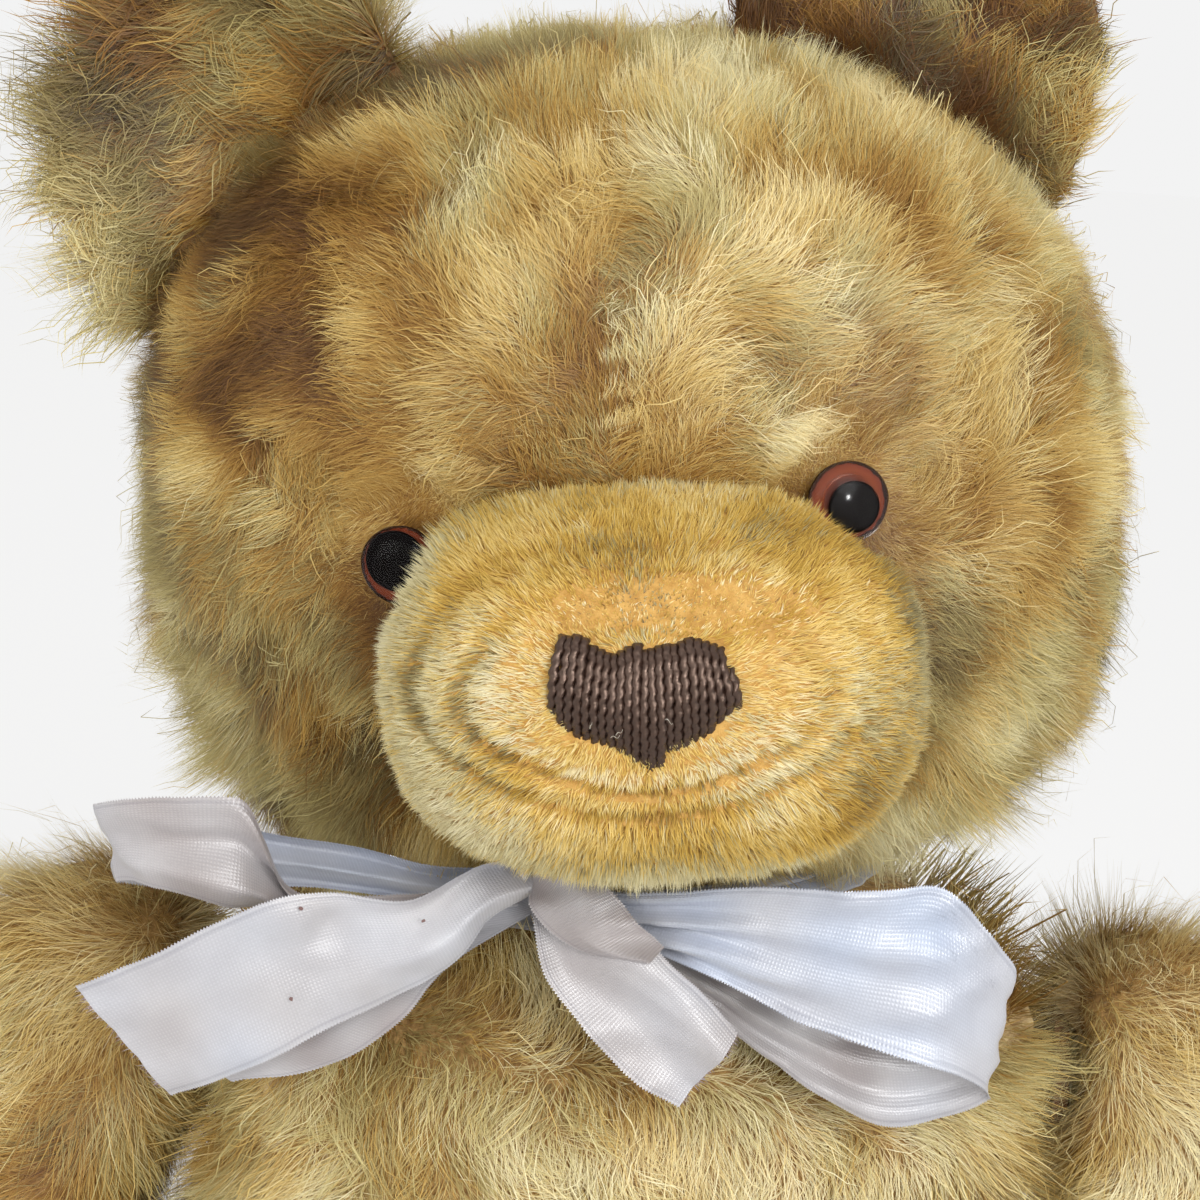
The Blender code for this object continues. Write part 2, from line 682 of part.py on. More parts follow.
def build_arm(label, side, torso):
    location = Vector((side * SHOULDER.x, SHOULDER.y, SHOULDER.z))
    shoulder = pivot(f"shoulder_{label}_pivot", location)
    outer = [arm_ring(row, side, 12) for row in ARM]
    inner = [arm_ring(ARM[k], side, 8) for k in ARM_CORE]
    skin, stuffing = skin_and_stuffing(f"arm_{label}", outer, inner, shoulder, limb_seat)
    down = Vector((0, -math.sin(ARM_SWING), -math.cos(ARM_SWING)))
    ahead = Vector((0, -math.cos(ARM_SWING), math.sin(ARM_SWING)))
    facing = ahead * math.cos(PALM_TURN) - Vector((side, 0, 0)) * math.sin(PALM_TURN)
    along = down + Vector((side * PALM_SPLAY, 0, 0))
    across = along.cross(facing).normalized()
    palm = Matrix((across, facing.cross(across), facing)).transposed().to_4x4()
    middle = down * PALM_DOWN + Vector((side * PALM_OUT, 0, 0)) + facing * 20 * MM
    build_limb_pad(f"paw_pad_{label}", skin, shoulder, Matrix.Translation(middle) @ palm,
                   16 * MM, 1.3, 14 * MM)
    disc_joint(f"shoulder_{label}", location, (side, 0, 0), SHOULDER_DISC_RADIUS, shoulder,
               (skin, stuffing), torso)


def build_leg(label, side, torso):
    location = Vector((side * HIP.x, HIP.y, HIP.z))
    hip = pivot(f"hip_{label}_pivot", location)
    outer = [leg_ring(row, side, 14) for row in LEG]
    inner = [leg_ring(LEG[k], side, 8) for k in LEG_CORE]
    skin, stuffing = skin_and_stuffing(f"leg_{label}", outer, inner, hip, leg_seat)
    sole = Matrix.Translation((side * 29 * MM, -204 * MM, 8 * MM))
    turn = Matrix.Rotation(math.radians(90), 4, "X")
    build_limb_pad(f"foot_pad_{label}", skin, hip, sole @ turn, 18 * MM, 1.95, 8 * MM)
    disc_joint(f"hip_{label}", location, (side, 0, 0), HIP_DISC_RADIUS, hip,
               (skin, stuffing), torso)


def ribbon_strip(name, stations):
    """A folded length of ribbon through stations of (centre, half width vector, ripple)."""
    rings = []
    for k, (centre, half, ripple) in enumerate(stations):
        before = Vector(stations[max(k - 1, 0)][0])
        after = Vector(stations[min(k + 1, len(stations) - 1)][0])
        half = Vector(half) * MM
        normal = (after - before).cross(half).normalized()
        upper, lower = [], []
        for q in (-1, 0, 1):
            wave = ripple * MM * (1 - 2 * abs(q))
            middle = Vector(centre) * MM + half * q + normal * wave
            upper.append(middle + normal * RIBBON_THICKNESS / 2)
            lower.append(middle - normal * RIBBON_THICKNESS / 2)
        rings.append(upper + list(reversed(lower)))
    return place(name, loft(name, rings), CUTTERS)


def build_ribbon():
    """A satin ribbon tied round the neck: band, knot, two loops and two tails, one piece."""
    tilt = Matrix.Translation(NECK) @ Matrix.Rotation(-NECK_LEAN, 4, "Y")
    steps = 20
    rings = []
    for k in range(steps):
        angle = 2 * math.pi * k / steps
        out = Vector((math.cos(angle), math.sin(angle), 0))
        crumple = BAND_CRUMPLE * math.sin(5 * angle) * (-1) ** k
        ring = []
        for j in range(5):
            turn = 2 * math.pi * j / 5
            outward = (1 + math.cos(turn)) / 2
            radius = BAND_RADIUS + BAND_BULGE * math.cos(turn) + crumple * outward
            spot = out * radius + Vector((0, 0, BAND_HALF_HEIGHT * math.sin(turn) - BAND_DROP))
            spot.y *= NECK_SQUASH
            ring.append(tilt @ spot)
        rings.append(ring)
    band = place("neck_ribbon", closed_loop("neck_ribbon", rings), PARTS, None, "satin")
    knot_work = bmesh.new()
    bmesh.ops.create_uvsphere(knot_work, u_segments=9, v_segments=6, radius=1)
    knot_mesh = bpy.data.meshes.new("knot")
    knot_work.to_mesh(knot_mesh)
    knot_work.free()
    knot_mesh.transform(Matrix.Translation(KNOT_CENTRE) @ Matrix.Diagonal((*KNOT_RADII, 1)))
    boolean(band, place("knot", knot_mesh, CUTTERS), "UNION")
    for name, stations in RIBBON_STRIPS.items():
        boolean(band, ribbon_strip(name, stations), "UNION")


def closed_loop(name, rings):
    """A closed mesh through rings that come back to the first one."""
    work = bmesh.new()
    rows = [[work.verts.new(point) for point in ring] for ring in rings]
    for low, high in zip(rows, rows[1:] + rows[:1]):
        for k in range(len(low)):
            after = (k + 1) % len(low)
            work.faces.new((low[k], low[after], high[after], high[k]))
    bmesh.ops.recalc_face_normals(work, faces=work.faces)
    bmesh.ops.triangulate(work, faces=work.faces)
    mesh = bpy.data.meshes.new(name)
    work.to_mesh(mesh)
    work.free()
    return mesh


clear_scene()
PARTS = collection("teddy_bear")
CUTTERS = collection("cutters")

torso_pieces = build_torso()
neck_pivot = pivot("neck_pivot", NECK, Matrix.Rotation(-NECK_LEAN, 4, "Y"))
head_pieces = build_head(neck_pivot)
head_outside = place("head_outside", head_pieces[0].data.copy(), CUTTERS, neck_pivot)
swell(head_outside, GAP)
muzzle_skin = build_muzzle(neck_pivot, *head_pieces)
for eye_label, eye_side in (("left", 1), ("right", -1)):
    build_eye(neck_pivot, eye_label, eye_side, (head_pieces[0], muzzle_skin), head_pieces[1])
    build_ear(neck_pivot, eye_label, eye_side)
    build_arm(eye_label, eye_side, torso_pieces)
    build_leg(eye_label, eye_side, torso_pieces)
build_nose(neck_pivot)
neck_direction = (-math.sin(NECK_LEAN), 0, math.cos(NECK_LEAN))
disc_joint("neck", NECK, neck_direction, NECK_DISC_RADIUS, neck_pivot, head_pieces, torso_pieces)
build_ribbon()
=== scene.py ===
"""A worn mohair teddy bear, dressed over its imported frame: plush, pile, glass, thread and satin.

Metres, +Z up. The bear sits on the plane z = 0 and faces -Y, so its own left side is at +X.
"""
import math

import bmesh
import bpy
import numpy as np
from mathutils import Matrix, Vector
from mathutils.bvhtree import BVHTree
from mathutils.kdtree import KDTree


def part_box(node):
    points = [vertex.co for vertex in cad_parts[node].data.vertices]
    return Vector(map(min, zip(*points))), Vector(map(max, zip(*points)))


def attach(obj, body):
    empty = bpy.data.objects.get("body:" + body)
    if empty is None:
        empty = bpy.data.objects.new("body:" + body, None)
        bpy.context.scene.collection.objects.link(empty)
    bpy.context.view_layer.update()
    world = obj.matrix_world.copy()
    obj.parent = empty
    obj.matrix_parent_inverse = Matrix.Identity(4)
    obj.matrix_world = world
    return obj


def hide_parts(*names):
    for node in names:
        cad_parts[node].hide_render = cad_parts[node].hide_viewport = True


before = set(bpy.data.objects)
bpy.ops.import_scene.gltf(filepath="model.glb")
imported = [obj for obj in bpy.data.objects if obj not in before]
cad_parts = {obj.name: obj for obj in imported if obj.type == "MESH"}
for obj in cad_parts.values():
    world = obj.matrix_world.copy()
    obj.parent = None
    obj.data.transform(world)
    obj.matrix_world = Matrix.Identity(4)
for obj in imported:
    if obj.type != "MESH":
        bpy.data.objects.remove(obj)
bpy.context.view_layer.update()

MM = 0.001

# --- Studio ------------------------------------------------------------------------------------
# The bear sits on a plain white floor, seen a little from above its own height with the camera
# tipped slightly, under one large soft lamp on its left, a weaker one on its right, and a small
# one beside the camera that only puts a spark in the glass eyes.

def colour(red, green, blue):
    """Screen values from 0 to 255, as the linear colour that a shader takes."""
    parts = [value / 255 for value in (red, green, blue)]
    return [p / 12.92 if p <= 0.04045 else ((p + 0.055) / 1.055) ** 2.4 for p in parts] + [1]


def add_node(tree, kind, feeds=(), **settings):
    """A node in the tree, with its sockets and options set by name, and its first sockets fed in
    order: each feed is an output to link, a value to set, or None to pass a socket over."""
    new = tree.nodes.new("ShaderNode" + kind)
    for key, value in settings.items():
        if key in new.inputs:
            new.inputs[key].default_value = value
        else:
            setattr(new, key, value)
    for socket, feed in zip(new.inputs, feeds):
        if isinstance(feed, bpy.types.NodeSocket):
            tree.links.new(feed, socket)
        elif feed is not None:
            socket.default_value = feed
    return new


def sum_of(tree, operation, first, second):
    """The output of a Math node on two outputs or values."""
    return add_node(tree, "Math", (first, second), operation=operation).outputs[0]


def mix_shaders(tree, share, first, second, output):
    """Blends two shaders by a share, into the material's or world's output."""
    mix = add_node(tree, "MixShader", (share, first.outputs[0], second.outputs[0]))
    tree.links.new(mix.outputs[0], output.inputs["Surface"])


def white_to_eye(tree, surface, glow_kind, output, share):
    """White, by a share, for the eye and in gloss or glass; the surface itself for other light."""
    path = add_node(tree, "LightPath").outputs
    glow = add_node(tree, glow_kind, Color=(1, 1, 1, 1), Strength=1)
    seen = sum_of(tree, "MAXIMUM", path["Is Camera Ray"], path["Is Glossy Ray"])
    seen = sum_of(tree, "MAXIMUM", seen, path["Is Transmission Ray"])
    mix_shaders(tree, sum_of(tree, "MULTIPLY", seen, share), surface, glow, output)


def put(name, data):
    """A new object in the scene."""
    made = bpy.data.objects.new(name, data)
    bpy.context.collection.objects.link(made)
    return made


def add_lamp(name, place, aim, size, power, gloss_only=False):
    """A round soft lamp, which may light nothing but shiny surfaces."""
    lamp = bpy.data.lights.new(name, "AREA")
    lamp.shape = "DISK"
    lamp.size = size
    lamp.energy = power
    holder = put(name, lamp)
    holder.location = place
    holder.rotation_euler = (Vector(aim) - Vector(place)).to_track_quat("-Z", "Y").to_euler()
    holder.visible_diffuse = not gloss_only


HEAD_CENTRE = Vector((-8, -8, 320)) * MM
CAMERA_PLACE = (-0.0112, -0.5071, 0.4201)
PITCH = math.radians(15)
TIP = math.radians(4)
back_up = Vector((0, math.sin(PITCH), math.cos(PITCH)))
sight = Vector((0, math.cos(PITCH), -math.sin(PITCH)))
camera_right = Vector((1, 0, 0)) * math.cos(TIP) + back_up * math.sin(TIP)
camera_up = back_up * math.cos(TIP) - Vector((1, 0, 0)) * math.sin(TIP)
camera_data = bpy.data.cameras.new("camera")
camera_data.sensor_width = 36
camera_data.lens = 78.1
camera_data.clip_start = 0.01
camera = put("camera", camera_data)
camera_turn = Matrix((camera_right, camera_up, -sight)).transposed().to_4x4()
camera.matrix_world = Matrix.Translation(CAMERA_PLACE) @ camera_turn
bpy.context.scene.camera = camera

add_lamp("soft_key", (0.45, -1.35, 0.95), HEAD_CENTRE, 0.9, 17)
add_lamp("soft_fill", (-1.0, -1.0, 0.7), HEAD_CENTRE, 0.9, 5)
add_lamp("eye_spark", (0.22, -0.56, 0.37), HEAD_CENTRE, 0.05, 2.0, gloss_only=True)

world = bpy.data.worlds.new("studio_air")
world.use_nodes = True
bpy.context.scene.world = world
air = world.node_tree.nodes["Background"]
air.inputs["Color"].default_value = (1, 1, 1, 1)
air.inputs["Strength"].default_value = 0.65
white_to_eye(world.node_tree, air, "Background", world.node_tree.nodes["World Output"], 0.7)
bpy.context.scene.view_settings.view_transform = "Standard"

bpy.ops.object.select_all(action="DESELECT")
bpy.ops.mesh.primitive_plane_add(size=8, location=(0, 0, -0.0005))
floor = bpy.context.active_object
floor.name = "floor"
floor_finish = bpy.data.materials.new("white_floor")
floor_finish.use_nodes = True
floor_shader = floor_finish.node_tree.nodes["Principled BSDF"]
floor_shader.inputs["Base Color"].default_value = (0.86, 0.855, 0.84, 1)
floor_shader.inputs["Roughness"].default_value = 0.9
white_to_eye(floor_finish.node_tree, floor_shader, "Emission",
             floor_finish.node_tree.nodes["Material Output"], 0.72)
floor.data.materials.append(floor_finish)

# --- Joints and filling ------------------------------------------------------------------------
# Each limb and the head turn on two hardboard discs with steel washers, held by a cotter pin, and
# are packed with wood wool. These stay as the frame has them, and only take their finish.

def new_finish(name, **sockets):
    """A material whose shader has the given sockets set, with its tree and its shader."""
    made = bpy.data.materials.new(name)
    made.use_nodes = True
    shader = made.node_tree.nodes["Principled BSDF"]
    for key, value in sockets.items():
        shader.inputs[key.replace("_", " ")].default_value = value
    return made, made.node_tree, shader


def ramp(tree, factor, stops):
    """A colour ramp on a factor, from stops of (place, colour)."""
    new = add_node(tree, "ValToRGB", (factor,))
    stock = new.color_ramp.elements
    while len(stock) < len(stops):
        stock.new(0.5)
    for stop, (place, shade) in zip(stock, stops):
        stop.position = place
        stop.color = shade
    return new.outputs["Color"]


def add_bump(tree, shader, height, distance, strength=1.0):
    bump = add_node(tree, "Bump", Distance=distance, Strength=strength)
    tree.links.new(height, bump.inputs["Height"])
    tree.links.new(bump.outputs["Normal"], shader.inputs["Normal"])


def grain_finish(name, dark, light, scale, stretch, roughness, metal=0.0, depth=0.2 * MM):
    """A grain of noise in two colours, drawn out along one way, which also raises the surface."""
    made, tree, shader = new_finish(name, Roughness=roughness, Metallic=metal)
    place = add_node(tree, "TexCoord").outputs["Object"]
    spread = add_node(tree, "Mapping", (place,), Scale=stretch).outputs[0]
    grain = add_node(tree, "TexNoise", (spread,), Scale=scale, Detail=5, Roughness=0.65)
    shades = ramp(tree, grain.outputs["Fac"], ((0.36, colour(*dark)), (0.64, colour(*light))))
    tree.links.new(shades, shader.inputs["Base Color"])
    add_bump(tree, shader, grain.outputs["Fac"], depth)
    return made


wood_wool = grain_finish("wood_wool", (150, 120, 78), (214, 190, 140), 260, (1, 0.25, 3), 0.9,
                         depth=1.2 * MM)
hardboard = grain_finish("hardboard", (96, 66, 38), (132, 96, 60), 900, (1, 1, 1), 0.8)
steel_wire = grain_finish("steel_wire", (120, 116, 110), (176, 173, 168), 700, (1, 1, 1), 0.42,
                          metal=1.0, depth=0.04 * MM)
for node_name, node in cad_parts.items():
    for ending, finish in (("stuffing", wood_wool), ("disc_limb", hardboard),
                           ("disc_body", hardboard), ("washer_limb", steel_wire),
                           ("washer_body", steel_wire), ("cotter_pin", steel_wire),
                           ("shank", steel_wire)):
        if node_name.endswith(ending):
            node.data.materials.clear()
            node.data.materials.append(finish)

# --- Head --------------------------------------------------------------------------------------
# The head is sewn of mohair plush gussets over hard wood wool. Its pile is long and wavy: matted,
# parted and browned on the bear's right brow, palest over the middle of the forehead.

def modify(piece, kind, **settings):
    modifier = piece.modifiers.new(kind, kind)
    for key, value in settings.items():
        setattr(modifier, key, value)


def apply_modifiers(piece):
    for modifier in list(piece.modifiers):
        bpy.ops.object.modifier_apply(modifier=modifier.name)


def picked(*pieces):
    """Selects only these pieces, with the first one active."""
    bpy.ops.object.select_all(action="DESELECT")
    for piece in pieces:
        piece.select_set(True)
    bpy.context.view_layer.objects.active = pieces[0]


def in_one_order(piece):
    """Puts the faces in the same order each time, which a primitive doesn't promise."""
    spots = [vertex.co.copy() for vertex in piece.data.vertices]
    faces = []
    for face in piece.data.polygons:
        ring = list(face.vertices)
        first = ring.index(min(ring))
        faces.append(ring[first:] + ring[:first])
    piece.data.clear_geometry()
    piece.data.from_pydata(spots, [], sorted(faces))


def skin_over(name, node, inset=0.8 * MM, even=None, segments=72, rounds=8, filling=None):
    """A closed backing drawn tight on to a frame node, sunk a little, but outside its filling."""
    low, high = (Vector(corner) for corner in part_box(node))
    form = put(node + "_form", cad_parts[node].data.copy())
    bpy.ops.object.select_all(action="DESELECT")
    bpy.ops.mesh.primitive_uv_sphere_add(segments=segments, ring_count=segments * 2 // 3,
                                         radius=1, location=(low + high) / 2,
                                         scale=(high - low) * 0.54)
    skin = bpy.context.active_object
    skin.name = name
    bpy.ops.object.transform_apply()
    modify(skin, "SHRINKWRAP", target=form)
    if even:
        modify(skin, "REMESH", mode="VOXEL", voxel_size=even)
        modify(skin, "SHRINKWRAP", target=form)
    modify(skin, "SMOOTH", factor=0.5, iterations=rounds)
    modify(skin, "DISPLACE", mid_level=0, strength=-inset)
    if filling:
        modify(skin, "SHRINKWRAP", target=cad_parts[filling], wrap_mode="OUTSIDE",
               offset=0.7 * MM)
    apply_modifiers(skin)
    in_one_order(skin)
    bpy.ops.object.shade_smooth()
    bpy.data.objects.remove(form)
    return skin


def waves_in_space(points, seed, size):
    """Smooth noise, about -1 to 1, that turns over a given size: a sum of slanted waves."""
    draw = np.random.default_rng(seed)
    total = np.zeros(len(points))
    for _ in range(9):
        way = draw.normal(size=3)
        way *= draw.uniform(0.6, 1.5) * 2 * math.pi / size / np.linalg.norm(way)
        total += np.sin(points @ way + draw.uniform(0, 2 * math.pi))
    return total / 3


def unit(rows):
    return rows / np.maximum(np.linalg.norm(rows, axis=-1, keepdims=True), 1e-12)


def nearest_of(spots, places):
    """The number of the nearest spot to each place."""
    tree = KDTree(len(spots))
    for k, spot in enumerate(spots):
        tree.insert(spot, k)
    tree.balance()
    return np.array([tree.find(place)[1] for place in places])


def got(elements, key, wide, kind=float):
    """One measure of all the elements of a mesh, in rows."""
    values = np.empty(len(elements) * wide, kind)
    elements.foreach_get(key, values)
    return values.reshape(-1, wide)


LOCK_BLUR = 0.22  # how far strands stray into the next lock, as a share of its width
TUFT_BLUR = 0.17
TUFT_LIFT = 0.28
MEANDER = 2.2


def sample_skin(skin, count, seed, density):
    """Places and normals on the skin, as many to each area as the density asks there."""
    mesh = skin.data
    mesh.calc_loop_triangles()
    corners = got(mesh.loop_triangles, "vertices", 3, int)
    spots = np.round(got(mesh.vertices, "co", 3), 6)
    ups = np.round(got(mesh.vertex_normals, "vector", 3, np.float32).astype(float), 4)
    a, b, c = (spots[corners[:, k]] for k in range(3))
    area = np.linalg.norm(np.cross(b - a, c - a), axis=1) / 2
    weight = area * density((a + b + c) / 3, unit(ups[corners].sum(1)))
    draw = np.random.default_rng(seed)
    pick = draw.choice(len(corners), count, p=weight / weight.sum())
    u, v = draw.random(count), draw.random(count)
    fold = u + v > 1
    u[fold], v[fold] = 1 - u[fold], 1 - v[fold]
    shares = np.stack([1 - u - v, u, v], 1)[:, :, None]
    places = (spots[corners[pick]] * shares).sum(1)
    normals = unit((ups[corners[pick]] * shares).sum(1))
    return places, normals, (area * (weight > 0)).sum()


def grow_pile(name, skin, count, seed, density, comb, lock_gap, width, steps=4, length=14 * MM,
              height=5.0 * MM, clump=0.6, curl=0.9, swirl=0.6, swirl_size=0.05, stray=0.04,
              lowest=0.6 * MM, fine=0, dark=0.0, tuft_gap=17 * MM, tufting=1.0, scatter=0.16):
    """Pile as strands gathered in locks, and those in tufts, among many finer straight hairs.

    density(places, normals) gives how thick the pile stands, and its strands are finer where it is
    thick. comb(places, normals) gives the way it lies, its length and height as shares, its tone
    from dark to pale, and its greyness.
    """
    roots, normals, covered = sample_skin(skin, count, seed, density)
    lock_count = int(covered / lock_gap ** 2)
    centres, centre_normals, _ = sample_skin(skin, lock_count, seed + 1, density)
    draw = np.random.default_rng(seed + 2)
    strand_draw = np.random.default_rng(seed + 4)
    near_by = strand_draw.normal(0, 1, (count, 3))
    lock = nearest_of(centres, roots + near_by * LOCK_BLUR * lock_gap)
    tufts, _, _ = sample_skin(skin, max(int(covered / tuft_gap ** 2), 1), seed + 8, density)
    tuft = nearest_of(tufts, roots + near_by * TUFT_BLUR * tuft_gap)
    tuft_tone = draw.normal(0, 0.1, len(tufts)) * tufting
    tuft_turn = draw.normal(0, 0.2, len(tufts)) * tufting

    def flow(places, ups):
        way, long, tall, tone, grey = comb(places, ups)
        side = unit(np.cross(ups, way))
        turn = swirl * waves_in_space(places, seed + 3, swirl_size)
        return np.cross(side, ups), side, turn, long, tall, tone, grey

    def step(at, turns, ways, sides, stride):
        """The place reached from another by a stride, turned from the way the pile lies."""
        return at + (ways * np.cos(turns)[:, None] + sides * np.sin(turns)[:, None]) * stride

    ahead, side, flow_turn, long, _, _, _ = flow(centres, centre_normals)
    turn = flow_turn + draw.normal(0, 0.16, lock_count)
    bend = draw.normal(0, curl, lock_count)
    swing = draw.uniform(0.05, 0.4, lock_count) * curl * (1.0 if steps > 3 else 0.45)
    phase = draw.uniform(0, 2 * math.pi, lock_count)
    beat = draw.uniform(0.8, 1.35, lock_count)
    lock_long = long * draw.uniform(0.75, 1.15, lock_count)
    lock_tall = draw.uniform(0.6, 1.25, lock_count)
    lock_tone = draw.normal(0, 0.05, lock_count)
    lock_grey = draw.normal(0, 0.08, lock_count)

    own_ahead, own_side, own_turn, own_long, own_tall, own_tone, own_grey = flow(roots, normals)
    loose = strand_draw.random(count) < stray
    gather = clump * strand_draw.uniform(0.6, 1.25, count)
    gather[loose] *= 0.2
    reach = length * own_long * np.where(loose, 1.15, lock_long[lock] / long[lock])
    reach *= strand_draw.uniform(0.82, 1.12, count)
    rise = height * own_tall * lock_tall[lock] * strand_draw.uniform(0.45, 1.2, count)
    rise[loose] *= 1.35
    # Each tuft is low at its back and high where its tips end; it is brown at its back, as painted
    # shade, and pale at its tips.
    along = ((roots - tufts[tuft]) * own_ahead).sum(1) / (0.55 * tuft_gap)
    along = np.clip(along, -1, 1) * tufting
    rise *= 1 + TUFT_LIFT * along
    spread = strand_draw.normal(0, scatter, count)
    spread = spread + np.where(loose, strand_draw.normal(0, 0.5, count), 0)
    heading = own_turn + turn[lock] - flow_turn[lock] + tuft_turn[tuft] + spread
    bends = bend[lock] + strand_draw.normal(0, 0.2, count)
    phases = phase[lock] + strand_draw.normal(0, 0.35, count)

    times = np.linspace(0, 1, steps + 1)
    strand = np.empty((count, steps + 1, 3))
    strand[:, 0] = roots
    guide, track = centres[lock], roots
    for k in range(1, steps + 1):
        middle = (times[k] + times[k - 1]) / 2
        pace = (times[k] - times[k - 1]) * (0.72 + 0.56 * middle)
        stride = (reach * pace)[:, None]
        wave = swing[lock] * MEANDER * np.sin(2 * math.pi * beat[lock] * middle + phases)
        track = step(track, heading + bends * middle + wave, own_ahead, own_side, stride)
        wave = swing[lock] * MEANDER * np.sin(2 * math.pi * beat[lock] * middle + phase[lock])
        guide = step(guide, turn[lock] + bend[lock] * middle + wave, ahead[lock], side[lock],
                     stride)
        pull = (gather * times[k] ** 1.3)[:, None]
        lift = rise * math.sin(0.62 * math.pi * times[k])
        lift += rise * 0.16 * np.sin(2 * math.pi * 1.3 * times[k] + phases) * times[k]
        strand[:, k] = track * (1 - pull) + guide * pull + normals * lift[:, None]
    strand[:, :, 2] = np.maximum(strand[:, :, 2], lowest)

    run = np.gradient(strand, axis=1)
    across = unit(np.cross(run, normals[:, None, :]))
    twist = strand_draw.normal(0, 0.28, count)[:, None, None]
    across = across * np.cos(twist) + normals[:, None, :] * np.sin(twist)
    tone = own_tone + lock_tone[lock] + strand_draw.normal(0, 0.04 if steps > 1 else 0.1, count)
    # Painted shade: strands are browner at the back of their tuft, and darker the lower they lie.
    tone += 0.12 * waves_in_space(roots, seed + 5, 0.03) + tuft_tone[tuft] + 0.2 * along
    tone += 0.1 * (rise / (height * own_tall) - 0.85)
    tone -= 0.5 * (strand_draw.random(count) < dark)
    grey = own_grey + lock_grey[lock] + 0.2 * waves_in_space(roots, seed + 7, 0.03)
    grey += strand_draw.normal(0, 0.14, count)
    widths = width * strand_draw.uniform(0.75, 1.25, count)
    widths = widths / np.sqrt(np.clip(density(roots, normals), 0.8, 4))
    pile = ribbon_strands(name, strand, across, widths, tone, grey, normals)
    if fine:
        bed = grow_pile(name + "_fine", skin, fine, seed, density, comb, lock_gap, width * 0.85,
                        1, length * 0.46, height * 0.95, clump * 0.5, curl, swirl, swirl_size, 0,
                        lowest, tuft_gap=tuft_gap, tufting=tufting, scatter=0.34)
        picked(pile, bed)
        bpy.ops.object.join()
    return pile


COAT_SOFTNESS = 0.7


def ribbon_strands(name, strand, across, width, tone, grey, ups):
    """One mesh of flat tapering strands, with its tone and greyness across its map and its length
    up it. Its shading leans to the skin's, so that the strands melt into one soft coat."""
    count, stations = strand.shape[:2]
    steps = stations - 1
    taper = np.linspace(1, 0.45, stations)[None, :-1, None] * width[:, None, None] / 2
    each = 2 * steps + 1
    spots = np.empty((count, each, 3))
    spots[:, 0:2 * steps:2] = strand[:, :-1] - across[:, :-1] * taper
    spots[:, 1:2 * steps:2] = strand[:, :-1] + across[:, :-1] * taper
    spots[:, -1] = strand[:, -1]
    pattern, starts = [], []
    for k in range(steps - 1):
        starts.append(len(pattern))
        pattern += [2 * k, 2 * k + 1, 2 * k + 3, 2 * k + 2]
    starts.append(len(pattern))
    pattern += [2 * steps - 2, 2 * steps - 1, 2 * steps]
    loops = (np.arange(count)[:, None] * each + np.array(pattern)).ravel()
    begins = (np.arange(count)[:, None] * len(pattern) + np.array(starts)).ravel()
    mesh = bpy.data.meshes.new(name)
    mesh.vertices.add(count * each)
    mesh.vertices.foreach_set("co", spots.astype(np.float32).ravel())
    mesh.loops.add(len(loops))
    mesh.loops.foreach_set("vertex_index", loops)
    mesh.polygons.add(len(begins))
    mesh.polygons.foreach_set("loop_start", begins)
    mesh.polygons.foreach_set("use_smooth", np.ones(len(begins), bool))
    mesh.update(calc_edges=True)
    # Warm strands lie in the left half of the map and grey ones in the right half.
    shade = 0.02 + 0.44 * np.clip(tone, 0, 1) + np.where(grey > 0.5, 0.5, 0)
    v = np.repeat(np.linspace(0, 1, stations), 2)[:each]
    side = np.tile([-0.006, 0.006], stations)[:each]
    side[-1] = 0
    flat = np.empty((count, each, 2))
    flat[:, :, 0] = shade[:, None] + side
    flat[:, :, 1] = v
    mapped = flat.reshape(-1, 2)[loops]
    layer = mesh.uv_layers.new(name="OFBake")
    layer.uv.foreach_set("vector", mapped.astype(np.float32).ravel())
    facing = unit(np.cross(across, np.gradient(strand, axis=1)))
    facing = unit(COAT_SOFTNESS * ups[:, None, :] + (1 - COAT_SOFTNESS) * facing)
    facing = np.repeat(facing, 2, axis=1)[:, :each]
    mesh.normals_split_custom_set_from_vertices(facing.astype(np.float32).reshape(-1, 3))
    return put(name, mesh)


def mix_colours(tree, share, first, second, blend="MIX"):
    """Two colours mixed by a share, each an output or a value."""
    mix = add_node(tree, "Mix", data_type="RGBA", blend_type=blend)
    for socket, feed in zip((mix.inputs[0], mix.inputs[6], mix.inputs[7]), (share, first, second)):
        if isinstance(feed, bpy.types.NodeSocket):
            tree.links.new(feed, socket)
        else:
            socket.default_value = feed
    return mix.outputs[2]


WARM = ((98, 62, 22), (150, 106, 40), (194, 155, 76), (226, 201, 128), (250, 235, 180))
GREY = ((90, 72, 40), (142, 122, 70), (187, 170, 108), (220, 207, 148), (248, 240, 198))


